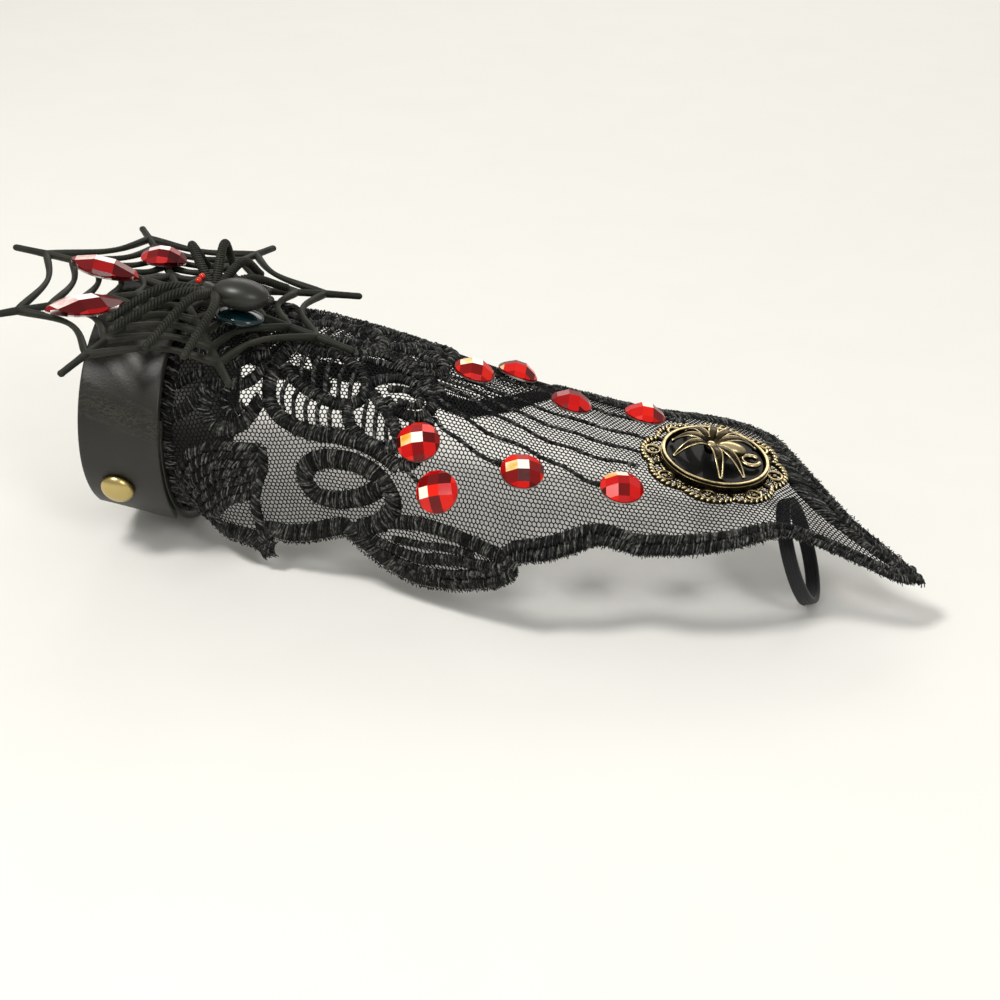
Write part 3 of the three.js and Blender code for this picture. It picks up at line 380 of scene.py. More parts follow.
class Finish:
    """A material with one shader, whose nodes are made by kind, settings and inputs."""

    def __init__(self, name, **sockets):
        self.material = bpy.data.materials.new(name)
        self.material.use_nodes = True
        self.tree = self.material.node_tree
        self.shader = self.tree.nodes["Principled BSDF"]
        self.set(**sockets)
        self.place = self.node("TexCoord", output="Object")

    def set(self, **sockets):
        for name, value in sockets.items():
            plug(self.tree, self.shader.inputs[name.replace("_", " ")], value)

    def node(self, kind, settings=None, output=0, sockets=None, **inputs):
        """A node by its kind and settings, with what goes into its sockets by number or by name."""
        node = self.tree.nodes.new("ShaderNode" + kind)
        for name, value in (settings or {}).items():
            setattr(node, name, value)
        for number, value in (sockets or {}).items():
            plug(self.tree, node.inputs[number], value)
        for name, value in inputs.items():
            plug(self.tree, node.inputs[name.replace("_", " ")], value)
        return Value(self.tree, node.outputs[output])

    def ramp(self, value, *stops):
        """A colour ramp through (place, colour) stops."""
        result = self.node("ValToRGB", sockets={0: value})
        elements = result.socket.node.color_ramp.elements
        for place, _ in stops[2:]:
            elements.new(place)
        for element, (place, colour) in zip(elements, stops):
            element.position = place
            element.color = (*colour, 1)
        return result

    def between(self, value, low, high):
        """The value's place from low to high, from 0 to 1."""
        return self.node("MapRange", Value=value, From_Min=low, From_Max=high)

    def noise(self, scale, detail=3.0, roughness=0.5, place=None):
        place = place or self.place
        return self.node("TexNoise", Vector=place, Scale=scale, Detail=detail, Roughness=roughness)

    def stretched(self, scale):
        return self.node("Mapping", Vector=self.place, Scale=scale)

    def cells(self, scale, feature="F1", output="Distance", place=None):
        settings = {"feature": feature}
        return self.node("TexVoronoi", settings, output, Vector=place or self.place, Scale=scale)

    def mix(self, factor, first, second):
        """A colour between two, by a factor."""
        return self.node("Mix", {"data_type": "RGBA"}, 2, {0: factor, 6: first, 7: second})

    def facing(self, axis):
        """How far the surface faces along an axis, from -1 to 1."""
        normal = self.node("NewGeometry", output="Normal")
        return self.node("VectorMath", {"operation": "DOT_PRODUCT"}, "Value", {0: normal, 1: tuple(axis)})

    def bump(self, height, strength, distance):
        self.set(Normal=self.node("Bump", Height=height, Strength=strength, Distance=distance * MM))


# Finishes

def leather_finish():
    """Smooth dark olive-black leather with fine grain, and a band of creases round its side whose wrinkles
    carry a painted highlight.
    """
    leather = Finish("black_leather", Specular_IOR_Level=0.5)
    grain = leather.cells(1500, "DISTANCE_TO_EDGE")
    pores = leather.noise(2600, 4, 0.6)
    patches = leather.noise(90, 3, 0.55)
    up = leather.node("SeparateXYZ", Vector=leather.place, output="Z")
    along = leather.node("SeparateXYZ", Vector=leather.place, output="X")
    crease_line = up + along * 0.32 - 0.007
    crease = 1 - leather.between(crease_line.maths("ABSOLUTE"), 0.0003, 0.0032)
    crinkle = leather.noise(1150, 6, 0.72, place=leather.stretched((0.45, 1, 1.5)))
    folds = 1 - leather.between((crinkle - 0.5).maths("ABSOLUTE"), 0.0, 0.045)
    worn = leather.between(patches, 0.45, 0.75)
    tone = leather.mix(worn, (0.0085, 0.0082, 0.0055), (0.016, 0.0155, 0.01))
    # The crease band's wrinkles are painted lighter: a painted highlight over their bump.
    tone = leather.mix(crease * folds, tone, (0.085, 0.082, 0.06))
    leather.set(Base_Color=tone, Roughness=0.4 - crease * 0.12 + pores * 0.12 - worn * 0.05)
    leather.bump(grain * 0.4 + pores * 0.15 + crease * folds * 3.5, 0.6, 0.14)
    return leather.material


def brass_finish():
    """Polished yellow brass with light handling marks."""
    brass = Finish("antique_brass", Metallic=1.0)
    marks = brass.noise(700, 5, 0.65, place=brass.stretched((1, 3, 1)))
    haze = brass.noise(160, 3)
    brass.set(Base_Color=brass.mix(haze, (0.46, 0.34, 0.12), (0.62, 0.5, 0.22)))
    brass.set(Roughness=0.2 + haze * 0.16 + marks * 0.06)
    brass.bump(marks, 0.15, 0.03)
    return brass.material


def thread_finish(name, dark, light, roughness):
    """Black thread with twisted plies, and a painted highlight in spots on some stitches."""
    thread = Finish(name, Specular_IOR_Level=0.15)
    plies = thread.noise(3200, 3, 0.6)
    patches = thread.noise(260, 3)
    stitch = thread.node("NewGeometry", output="Random Per Island")
    # The light colour is a painted highlight, laid in spots on some stitches.
    painted_glints = thread.between(thread.noise(1500, 2), 0.4, 0.6)
    painted_shine = stitch ** 3 * (0.15 + painted_glints) * (0.4 + patches)
    thread.set(Base_Color=thread.mix(painted_shine, dark, light), Roughness=roughness + plies * 0.2 - painted_shine * 0.1)
    thread.bump(plies, 0.5, 0.06)
    return thread.material


def cast_finish():
    """Olive-black paint over cast metal, rubbed lighter in random patches."""
    cast = Finish("black_cast_metal", Specular_IOR_Level=0.22)
    pits = cast.noise(1900, 4, 0.6)
    patches = cast.noise(140, 4, 0.6)
    rubbed = cast.between(patches, 0.42, 0.72)
    tone = cast.mix(rubbed, (0.0125, 0.0128, 0.009), (0.03, 0.03, 0.021))
    cast.set(Base_Color=tone, Roughness=0.48 + pits * 0.2 - rubbed * 0.08)
    cast.bump(pits + patches * 0.6, 0.35, 0.08)
    return cast.material


def abdomen_finish():
    """The same paint, worn smooth."""
    smooth = Finish("black_cast_smooth", Specular_IOR_Level=0.45)
    pits = smooth.noise(1300, 4, 0.6)
    patches = smooth.noise(220, 3)
    tone = smooth.mix(patches, (0.01, 0.0105, 0.008), (0.024, 0.024, 0.018))
    smooth.set(Base_Color=tone, Roughness=0.3 + pits * 0.14)
    smooth.bump(pits, 0.2, 0.05)
    return smooth.material


def bronze_finish(name, dark, bright, low, high):
    """Bronze whose dark patina is painted bright as a highlight where it faces out of the setting."""
    bronze = Finish(name, Metallic=1.0)
    patina = bronze.noise(900, 4, 0.6)
    patches = bronze.noise(280, 3)
    rough = (patina - 0.5) * 0.7 + (patches - 0.5) * 0.5
    # Painted highlight: bright where the surface faces out of the setting, broken up by noise, and dark
    # patina elsewhere.
    painted_highlight_mask = bronze.between(bronze.facing(setting_axes[2]) + rough, low, high)
    bronze.set(Base_Color=bronze.mix(painted_highlight_mask, dark, bright), Roughness=0.42 - painted_highlight_mask * 0.2)
    bronze.bump(patina, 0.3, 0.05)
    return bronze.material


def stone_finish(name, painted_glow, *stops):
    """Red foil-backed stone, whose facets carry a painted reflection of the foil, lighter and darker, and a
    faint painted glow.
    """
    stone = Finish(name, Coat_Weight=0.2, Coat_Roughness=0.03, Specular_IOR_Level=0.2)
    facet = stone.node("Attribute", {"attribute_name": "facet"}, output="Fac")
    depth = stone.noise(420, 2)
    tone = stone.ramp(facet + (depth - 0.5) * 0.08, *stops)
    stone.set(Base_Color=tone, Emission_Color=tone, Emission_Strength=painted_glow)
    stone.set(Roughness=0.16 + depth * 0.05)
    return stone.material


def foil_finish():
    """Silvery foil at the foot of a stone."""
    foil = Finish("stone_foil", Metallic=1.0)
    haze = foil.noise(500, 3)
    foil.set(Base_Color=foil.mix(haze, (0.5, 0.48, 0.46), (0.8, 0.78, 0.75)), Roughness=0.2 + haze * 0.2)
    foil.bump(haze, 0.2, 0.04)
    return foil.material


def glass_finish(name, dark, light, gloss=1.0, roughness=0.12):
    """Coloured glass with faint swirls."""
    glass = Finish(name, Coat_Weight=gloss, Coat_Roughness=0.02, Specular_IOR_Level=0.5 * gloss)
    swirl = glass.noise(240, 3)
    glass.set(Base_Color=glass.mix(swirl, dark, light), Roughness=roughness + swirl * 0.08)
    return glass.material


def elastic_finish():
    """Black ribbed elastic."""
    elastic = Finish("black_elastic", Specular_IOR_Level=0.25, Sheen_Weight=0.1)
    fibres = elastic.noise(2400, 4)
    elastic.set(Base_Color=elastic.mix(fibres, (0.006, 0.006, 0.007), (0.02, 0.02, 0.022)))
    elastic.set(Roughness=0.6 + fibres * 0.2)
    elastic.bump(fibres, 0.4, 0.06)
    return elastic.material


# Lace outline, laid out flat: each scallop's points run smoothly, and scallops meet in corners

NEAR_HEM = [
    [(8, -54.5), (14, -55.2), (18, -54.2), (22, -52.8), (25, -52.9), (28.3, -54.2)],
    [(28.3, -54.2), (28.9, -50)],
    [(28.9, -50), (32.5, -50), (36.5, -49), (40.5, -47.3), (44.8, -45.3)],
    [(44.8, -45.3), (49, -47.8), (54, -50), (60, -50.7), (65.5, -49.2), (70.5, -47), (74.5, -44.8),
     (78.3, -42.4), (80.9, -39.8), (82, -38), (81.8, -36.1)],
    [(81.8, -36.1), (84, -34.9), (87.3, -33.4), (90.5, -31.6), (93.7, -29.4), (97, -27.5), (100.5, -27),
     (104, -26.9), (108, -25.8), (113.5, -24.1), (119, -21.6), (122.5, -19.7), (126, -17.2), (129.5, -14.5),
     (133, -13.1), (140, -12.2), (147, -10.9), (151.5, -9.3), (155.5, -6.2), (159.5, 0.5)],
]
FAR_HEM = [
    [(8, 36.5), (14, 37), (18, 36), (22, 34.8), (25, 34.9), (28.3, 36.2)],
    [(28.3, 36.2), (28.9, 32)],
    [(28.9, 32), (32.5, 32), (36.5, 31), (40.5, 29.3), (44.8, 27.3)],
    [(44.8, 27.3), (49, 29.8), (54, 32), (60, 32.7), (65.5, 31.9), (70.5, 30.6), (74.5, 29), (78.3, 27.3),
     (80.9, 25.4), (82, 24), (81.8, 22.4)],
    [(81.8, 22.4), (86, 21.2), (90.5, 20.6), (94, 20.6), (97, 21), (100.5, 22), (104, 23.5), (108, 25.5),
     (113.5, 28), (118.5, 29.4), (122, 28.4), (126, 26), (128.5, 22.6), (131, 18.8), (134, 15), (137.5, 10.8),
     (141, 6.6), (144.5, 3.6), (148, 2.4), (152, 1.8), (155.5, 1.6), (159.5, 0.5)],
]
LACE_START = 2
near_hem = outline_of(NEAR_HEM)
far_hem = outline_of(FAR_HEM)
lace_outline = np.concatenate([
    [(LACE_START, near_hem[0, 1])], near_hem, far_hem[::-1], [(LACE_START, far_hem[0, 1])],
])


def inside(points, polygon):
    """Which flat points lie inside a closed outline."""
    x, y = points[:, 0], points[:, 1]
    found = np.zeros(len(points), bool)
    for (x0, y0), (x1, y1) in zip(polygon, np.roll(polygon, -1, 0)):
        if y0 == y1:
            continue
        crosses = (y0 > y) != (y1 > y)
        found ^= crosses & (x < (x1 - x0) * (y - y0) / (y1 - y0) + x0)
    return found


# Net

NET_PITCH = 0.87
NET_THREAD_RADIUS = 0.126
NET_TURN = 12
NET_HEIGHT = 0.55
THREADS_PER_CELL = 3
NET_SEAM = -14

# How far, and over what lengths, the cells drift out of a plain grid
NET_DRIFT = 0.14
NET_DRIFT_LENGTH = 2.7
NET_WAVE = 0.1
NET_WAVE_LENGTHS = (1.3, 4)


def net_threads():
    """Ends of the threads of a hexagonal net over the lace's flat outline."""
    half = int(np.ptp(lace_outline, axis=0).max() / NET_PITCH)
    i, j = np.meshgrid(np.arange(-half, half), np.arange(-half, half), indexing="ij")
    i, j = i.ravel(), j.ravel()
    side = NET_PITCH / math.sqrt(3)
    knot = np.stack([NET_PITCH * (i + 0.5 * (j % 2)), 1.5 * side * j], -1)
    fork = knot + (0, side)
    ends = [knot, fork + (-NET_PITCH / 2, side / 2), fork + (NET_PITCH / 2, side / 2)]
    threads = np.concatenate([np.stack([fork, end], 1) for end in ends])
    c, s = math.cos(math.radians(NET_TURN)), math.sin(math.radians(NET_TURN))
    threads = threads @ np.array([[c, s], [-s, c]]) + lace_outline.mean(0)
    crosswise = threads[..., ::-1]
    drift = NET_DRIFT * np.sin(crosswise / NET_DRIFT_LENGTH)
    wave = NET_WAVE * np.sin(threads / NET_WAVE_LENGTHS[0] + crosswise / NET_WAVE_LENGTHS[1])
    threads = threads + (drift + wave)
    keep = inside(threads.reshape(-1, 2), lace_outline).reshape(-1, 2).all(1)
    return threads[keep]


def lace_net(thread):
    """The net in two pieces that meet at a seam, each with the flat size that it is cut to."""
    threads = net_threads()
    near = threads.mean(1)[:, 1] < NET_SEAM
    cell_area = math.sqrt(3) / 2 * (NET_PITCH * MM) ** 2
    cuts = []
    for name, part, nodes in (("lace_net_near", near, ["lace_panel"]), ("lace_net_far", ~near, [])):
        ends, normals = on_lace(threads[part], np.full(threads[part].shape[:2], NET_HEIGHT))
        piece = add_parts(name, [tubes(ends, NET_THREAD_RADIUS, 3, normals)], thread, nodes)
        length, width = np.ptp(threads[part].reshape(-1, 2), axis=0) * MM
        area = part.sum() / THREADS_PER_CELL * cell_area
        cuts.append((piece, (float(width), float(length)), float(area)))
    return cuts


# Embroidery

STITCH_STEP = 0.25
STITCH_RADIUS = 0.145
STITCH_BASE = 0.62
STITCH_RISE = 0.55
STITCH_SLANT = 0.25
STITCH_TAPER = np.array([0.7, 1, 1.05, 1, 0.7])

# How much one stitch differs from the next: lowest and highest share, or the spread about nothing
STITCH_REACH = (0.8, 1.08)
STITCH_LIFT = (0.7, 1.2)
STITCH_THICKNESS = (0.75, 1.2)
STITCH_SHIFT = 0.07
STITCH_LEAN = 0.12
STITCH_WOBBLE = 0.05

BACKING_STEP = 0.8
BACKING_SHARE = 0.46
BACKING_SINK = 0.1
BACKING_RISE = 0.22
LASH_STEP = 0.2
LASH_REACH = (0.3, 1.1)
LASH_LEAN = 0.6
LASH_RISE = 0.1
LASH_LIFT = 0.12
LASH_RADIUS = 0.12
LASH_TAPER = np.array([1, 0.9, 0.6])


def sideways(path):
    """The left-hand direction at each point of a flat path."""
    run = unit(np.gradient(path, axis=0))
    return np.stack([-run[:, 1], run[:, 0]], -1)


def spread_over(values, count):
    """A list of values spread evenly over a count of steps."""
    values = np.atleast_1d(values)
    return np.interp(np.linspace(0, 1, count), np.linspace(0, 1, len(values)), values)


def flat_frame(path, step):
    """Points about a step apart on a flat path, with the directions to its left and back along it."""
    centre = resample(path, step)
    side = sideways(centre)
    return centre, side, np.stack([side[:, 1], -side[:, 0]], -1)


def satin(path, width, rise=STITCH_RISE, slant=STITCH_SLANT, radius=STITCH_RADIUS):
    """Threads side by side over a flat path, each arched from edge to edge and a little out of line."""
    centre, side, run = flat_frame(path, STITCH_STEP)
    one, five = (len(centre), 1), (len(centre), 5)
    half = spread_over(width, len(centre))[:, None] / 2
    u = np.linspace(-1, 1, 5)
    reach = half * (u * chance.uniform(*STITCH_REACH, one) + chance.normal(0, STITCH_SHIFT, one))
    lean = reach * (slant + chance.normal(0, STITCH_LEAN, one)) + chance.normal(0, STITCH_WOBBLE, five)
    flat = centre[:, None] + side[:, None] * reach[..., None] + run[:, None] * lean[..., None]
    lift = rise * chance.uniform(*STITCH_LIFT, one)
    height = STITCH_BASE + lift * (1 - u ** 2) + chance.normal(0, STITCH_WOBBLE, five)
    places, normals = on_lace(flat, height)
    return tubes(places, radius * chance.uniform(*STITCH_THICKNESS, one) * STITCH_TAPER, 4, normals)


def backing(path, width):
    """A solid low bead under the stitches of a path."""
    centre, side, _ = flat_frame(path, BACKING_STEP)
    u = np.linspace(-1, 1, 5)
    half = BACKING_SHARE * spread_over(width, len(centre))[:, None]
    flat = centre[:, None] + side[:, None] * (half * u)[..., None]
    height = np.broadcast_to(STITCH_BASE - BACKING_SINK + BACKING_RISE * (1 - u ** 2), flat.shape[:2])
    places, _ = on_lace(flat, height)
    return places.reshape(-1, 3), grid_faces(len(centre), 5)


def cord(path, width, **stitch):
    return [backing(path, width), satin(path, width, **stitch)]


def lashes(path, length):
    """Short loose thread ends that stand out to the right of a flat path."""
    start, side, run = flat_frame(path, LASH_STEP)
    one = (len(start), 1)
    reach = length * chance.uniform(*LASH_REACH, one)
    lean = chance.normal(0, LASH_LEAN, one)
    u = np.array([0, 0.5, 1])
    flat = start[:, None] - side[:, None] * (reach * u)[..., None]
    flat = flat - run[:, None] * (reach * lean * u ** 1.5)[..., None]
    height = STITCH_BASE + LASH_RISE + chance.normal(0, LASH_LIFT, one) * (1 + u)
    places, normals = on_lace(flat, height)
    return tubes(places, LASH_RADIUS * LASH_TAPER, 3, normals)


def inset(path, distance):
    return path + sideways(path) * distance


# Depths and widths of the rows of satin along a hem: one wide row up to the front leaf, then two
HEM_ONE_ROW = [(1.85, 3.9)]
HEM_TWO_ROWS = [(0.95, 2.1), (2.75, 2.0)]
HEM_TWO_ROWS_FROM = 66
HEM_STEP = 0.5
HEM_LASH = 0.55


def hem(name, outline, inward, thread):
    """Satin along an edge of the lace, with loose ends past it."""
    path = resample(outline, HEM_STEP)
    split = np.argmax(path[:, 0] > HEM_TWO_ROWS_FROM)
    parts = []
    for part, rows in ((path[:split + 1], HEM_ONE_ROW), (path[split:], HEM_TWO_ROWS)):
        for depth, width in rows:
            parts += cord(inset(part, inward * depth), width, rise=0.45, slant=0.5 * inward)
    parts.append(lashes(path[::inward], HEM_LASH))
    return add_parts(name, parts, thread)


# Lines of the embroidery on the near side, laid out flat, each after its width
FLOWER = [
    (3.1, [(31.5, -8), (29.3, -12), (28, -17), (28.2, -21), (30, -24.3), (34, -26), (39, -26.5), (43.5, -26),
           (50, -26.6), (56, -28.5)]),
    (2.6, [(30, -15), (33.5, -18), (38, -19.6), (42.5, -20.2), (45.8, -18.8), (46.8, -15.5), (44.8, -12),
           (40, -9.2), (35, -8.2), (31.5, -8)]),
    (2.7, [(44, -20), (45, -23.3), (48.5, -25.6), (53, -26), (55.2, -24), (53, -20.5), (49, -17),
           (46, -15.5)]),
    (2.6, [(46.5, -15), (49.5, -12.3), (53.5, -10.8), (58, -11.8), (60, -14.7), (58.5, -18), (54.5, -18.6),
           (51, -17)]),
    (1.8, [(51, -14.5), (54.5, -13.3), (57.5, -14.3), (57, -16.2), (53.5, -16.6)]),
    (2.6, [(32, -7.5), (37, -5.2), (44, -3.8), (51, -4.6), (57, -7.3), (61, -11)]),
    (1.7, [(44, -8.8), (50, -8.2), (56, -9.2), (60.5, -12)]),
    (1.4, [(40, -7), (46, -5.8), (53, -6.8), (58.5, -9.5)]),
    (2.5, [(56, -28), (58.8, -26.5), (60.5, -22.5), (60.2, -18)]),
    (1.7, [(55.5, -25), (57.3, -22), (57, -18.5)]),
]
FLOWER_VEIN_WIDTH = 0.9
FLOWER_VEINS = [
    [(34, -9), (33.2, -13), (34, -17.5)],
    [(36.5, -9.3), (35.8, -13.5), (36.6, -18.5)],
    [(39, -9.8), (38.4, -14), (39.2, -19)],
    [(41.6, -10.5), (41.2, -14.5), (41.8, -19)],
    [(44, -12.5), (43.6, -15), (44, -18.5)],
    [(31.6, -17), (30.8, -20.5), (31.6, -24)],
    [(34, -18.8), (33.3, -21.5), (34, -25)],
    [(36.4, -19.6), (35.8, -22), (36.6, -25.5)],
    [(38.8, -20), (38.3, -22.5), (39, -25.6)],
    [(41.2, -20.5), (40.8, -22.5), (41.4, -25.3)],
    [(47.6, -18), (47.6, -21), (48, -24.8)],
    [(49.8, -18.5), (49.9, -21), (50.4, -25)],
    [(52, -20), (52.3, -22), (52.8, -25)],
]
SMALL_MOTIF = [
    (2.6, [(9, -28.5), (12.5, -26), (15.5, -22.5), (19, -20.7), (23.5, -19.8), (26.5, -16)]),
    (2.9, [(16.5, -21.5), (15.8, -25), (17, -28.3), (20.5, -29), (24, -27), (26.8, -22.5)]),
    (1.8, [(19.5, -22), (19.5, -24.5), (21.5, -26), (23.5, -24)]),
    (2.2, [(20, -17), (23.5, -14.5), (26.5, -12.5)]),
    (2.4, [(8, -12), (13.5, -9), (18, -8), (22, -9.5), (25, -13)]),
    (2.2, [(8, -18), (13, -15), (17, -14), (21, -15.5)]),
    (2.0, [(8, -23.5), (11, -21.5), (14.5, -19)]),
    (3.4, [(8.1, 33), (8, 20), (8.1, 6), (8, -8), (8.2, -20), (8, -32), (8.2, -42), (8.3, -50)]),
]
SCROLL = [
    (3.9, [(52.5, -33), (49, -36), (43.5, -38.4), (39, -38.5), (36.6, -36), (37.3, -32.8), (41, -30.6),
           (46.5, -30), (51.5, -31), (54.8, -33.8), (55, -37), (52.3, -40.5), (48, -43)]),
]
LEAF_TWO = [
    (3.2, [(47.5, -43.5), (52.5, -40.4), (58.5, -38.3), (65, -36.9), (72, -36.4), (78, -36.3), (81.5, -37)]),
    (2.4, [(48, -43.8), (54, -45), (60.5, -45), (65.5, -43), (71, -41), (79, -38.4)]),
    (1.6, [(55, -43), (61, -42), (67, -40), (73, -38.4)]),
    (1.3, [(53, -46.5), (59, -47.2), (65, -46), (71, -43.4), (77, -40.2)]),
    (1.2, [(57, -48.6), (63, -48.4), (69, -46.2), (75, -43)]),
]

# The dense leaf lies between two lines, which its rows of stitches pass between evenly
LEAF_ONE_TOP = [(8.5, -49), (9.3, -42), (12.5, -35.6), (17.5, -32.8), (22.5, -32), (27.3, -31.4)]
LEAF_ONE_FOOT = [(12.5, -54), (14.5, -51.5), (17, -48.5), (20, -44.5), (23.3, -42.5), (26.3, -40.5)]
LEAF_ONE_SIDE = [(27.6, -31), (27.8, -35), (26.2, -40), (25.8, -44), (27, -49), (28.3, -53.6)]
LEAF_ONE_WINDOW = [(16.5, -50), (18.5, -51.6), (22.5, -51.8), (27, -51.5)]
LEAF_ONE_ROWS = 7
LEAF_ONE_ROW_WIDTH = 1.9
LEAF_ONE_SIDE_WIDTH = 2.4
LEAF_ONE_WINDOW_WIDTH = 1.8
STAMENS = [
    [(56, -27.5), (59, -29.2), (63, -30)],
    [(61, -17), (64, -19), (69, -20.2), (76, -20.8)],
    [(60.5, -12), (67, -14.6), (74, -15.3), (80, -15), (86, -15.6), (92, -16.4), (96, -16)],
    [(60, -8), (66, -8.7), (72, -9.6), (78, -10.2), (85, -10.3), (92, -9.6), (101, -7.5)],
    [(59, -6), (65, -5.8), (72, -5.9), (80, -5.6), (88, -4.6), (96, -3.2), (104, -1.5)],
    [(58, -5), (64, -3.6), (72, -2), (80, -0.6), (87, 0.8), (94, 2.4), (103, 4.6)],
    [(55, -2.5), (60, 0.6), (68, 4), (77, 6.6), (86, 8.6), (93, 9.6), (99, 11)],
    [(53, -1), (58, 3.6), (66, 8), (76, 11.4), (87, 14.2), (98, 16.4), (108, 18)],
]
STAMEN_WIDTH = 0.8
STAMEN_KNOT_WIDTH = 1.5
STAMEN_KNOT_STEP = 0.4
STAMEN_WAVE = 0.3
STAMEN_WAVE_LENGTH = 1.7
FINE_STITCH_RADIUS = 0.12

# The satin that fills the far edge of the point
POINT_BAND = [(125, 20.5), (128.5, 14.5), (132.5, 7.5), (137, 1.6), (142, -1.6), (147, -3.2), (153, -3)]
POINT_BAND_WIDTH = (3.5, 5.6, 6, 5.6, 5, 3.6, 2)
MIRROR_LINE = -9
MIRRORED_BELOW = -13


def stitched(name, lines, thread, **stitch):
    """A motif of satin cords, each a width and the points that it runs through."""
    parts = []
    for width, points in lines:
        parts += cord(curve_through(points), width, **stitch)
    return add_parts(name, parts, thread)


def mirror_low(lines):
    """The lines, and those that lie well down the side once more on the far side."""
    low = [(width, points) for width, points in lines if np.mean(points, 0)[1] < MIRRORED_BELOW]
    return lines + [(width, np.array(points) * (1, -1) + (0, 2 * MIRROR_LINE)) for width, points in low]


def leaf_rows():
    """Rows of slanted stitches that pass from the dense leaf's top to its foot."""
    top, foot = curve_through(LEAF_ONE_TOP), curve_through(LEAF_ONE_FOOT)
    shares = np.linspace(0, 1, LEAF_ONE_ROWS)
    return [(LEAF_ONE_ROW_WIDTH, top + (foot - top) * share) for share in shares]


def stamens(thread):
    """Thin lines of stitches that run from the flower, each ending in a small knot."""
    parts = []
    for line in STAMENS:
        path = curve_through(line)
        path[:, 1] += STAMEN_WAVE * np.sin(path[:, 0] / STAMEN_WAVE_LENGTH)
        parts += cord(path, STAMEN_WIDTH, rise=0.3, radius=FINE_STITCH_RADIUS, slant=1.2)
        ending = resample(path, STAMEN_KNOT_STEP)[-5:]
        parts.append(satin(ending, STAMEN_KNOT_WIDTH, rise=0.5))
    return add_parts("stamens", parts, thread)


def embroidery(thread):
    """The satin on the net, as the pieces that are sewn to its near part and to its far part."""
    veins = [(FLOWER_VEIN_WIDTH, vein) for vein in FLOWER_VEINS]
    leaf = [*leaf_rows(), (LEAF_ONE_SIDE_WIDTH, LEAF_ONE_SIDE), (LEAF_ONE_WINDOW_WIDTH, LEAF_ONE_WINDOW)]
    near = [
        hem("hem_near", near_hem, 1, thread),
        stitched("flower", mirror_low(FLOWER), thread, rise=0.65),
        stitched(
            "flower_veins", mirror_low(veins), thread, rise=0.35, radius=FINE_STITCH_RADIUS, slant=0.8,
        ),
        stitched("small_motif", mirror_low(SMALL_MOTIF), thread),
        stitched("scroll", mirror_low(SCROLL), thread, rise=0.7),
        stitched("front_leaf", LEAF_TWO, thread),
        stitched("dense_leaf", mirror_low(leaf), thread, rise=0.4, slant=0.9),
    ]
    far = [
        hem("hem_far", far_hem, -1, thread),
        stitched("point_band", [(POINT_BAND_WIDTH, POINT_BAND)], thread, rise=0.5, slant=0.35),
        stamens(thread),
    ]
    return near, far


def lace():
    """The lace, a sheet of net in two cuts, stretched over the form and held under the strap."""
    # Each thread's second colour is its painted highlight.
    thread = thread_finish("black_embroidery", (0.0025, 0.0025, 0.0027), (0.2, 0.2, 0.185), 0.36)
    net = thread_finish("black_net", (0.0025, 0.0025, 0.003), (0.012, 0.012, 0.012), 0.6)
    for (piece, flat, area), sewn in zip(lace_net(net), embroidery(thread)):
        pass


# Leather strap and its stud

STRAP_EDGE_ROUND = 0.45
STRAP_FOOT_ROUND = 0.15
STRAP_FOOT_RISE = 0.2
STRAP_STEPS = 300
STUD_ANGLE = -111
STUD_FROM_EDGE = 6.8
STUD_RADIUS = 3.4
STUD_DOME_HEIGHT = 2.2
STUD_SKIRT = 0.45
inner_layer = LACE_THICKNESS + SEAT_GAP + BAND_EASE
outer_layer = inner_layer + BAND_THICKNESS + SEAT_GAP


def strap_section():
    """The strap's section as (x, rise) points, with rounded edges."""
    half = BAND_WIDTH / 2
    top = BAND_THICKNESS
    bend = STRAP_EDGE_ROUND
    quarter = np.linspace(0, math.pi / 2, 5)
    right = np.stack([half - bend + bend * np.cos(quarter), top - bend + bend * np.sin(quarter)], -1)
    left = right[::-1] * (-1, 1)
    foot_half = half - STRAP_FOOT_ROUND
    low_right = np.array([(foot_half, 0), (half, STRAP_FOOT_RISE)])
    low_left = low_right[::-1] * (-1, 1)
    span = np.linspace(1, -1, 20)[1:-1]
    across_top = np.stack([(half - bend) * span, np.full(18, top)], -1)
    across_foot = np.stack([-foot_half * span, np.zeros(18)], -1)
    return np.concatenate([low_right, right, across_top, left, low_left, across_foot])


def strap(leather):
    section = strap_section()
    passed = np.linspace(0, 360 + BAND_OVERLAP_ANGLE, STRAP_STEPS)
    step_end = 360 - BAND_STEP_CLEAR_ANGLE
    climb = smoothstep(passed, step_end - BAND_STEP_ANGLE, step_end)
    offset = inner_layer + (outer_layer - inner_layer) * climb
    angle = np.radians(BAND_INNER_END_ANGLE - passed)[:, None]
    across, rise = section.T
    points = ring_point(across + 0 * angle, angle, offset[:, None] + rise)
    sides = grid_faces(len(angle), len(section), wrap_columns=True)
    piece = add_parts("leather_strap", [(points, sides)], leather, ["wrist_band"])
    mesh = bmesh.new()
    mesh.from_mesh(piece.data)
    verts = list(mesh.verts)
    mesh.faces.new(verts[:len(section)])
    mesh.faces.new(verts[:-len(section) - 1:-1])
    bmesh.ops.recalc_face_normals(mesh, faces=mesh.faces)
    mesh.to_mesh(piece.data)
    mesh.free()


def stud_axes():
    """Where the stud stands on the strap's run, and its axes there."""
    x = STUD_FROM_EDGE - BAND_WIDTH / 2
    angle = math.radians(STUD_ANGLE)
    around = ring_point(x, angle + 0.01, 0) - ring_point(x, angle - 0.01, 0)
    along = ring_point(x + SLOPE_STEP, angle, 0) - ring_point(x - SLOPE_STEP, angle, 0)
    return ring_point(x, angle, 0), seat_axes(unit(np.cross(along, around)))


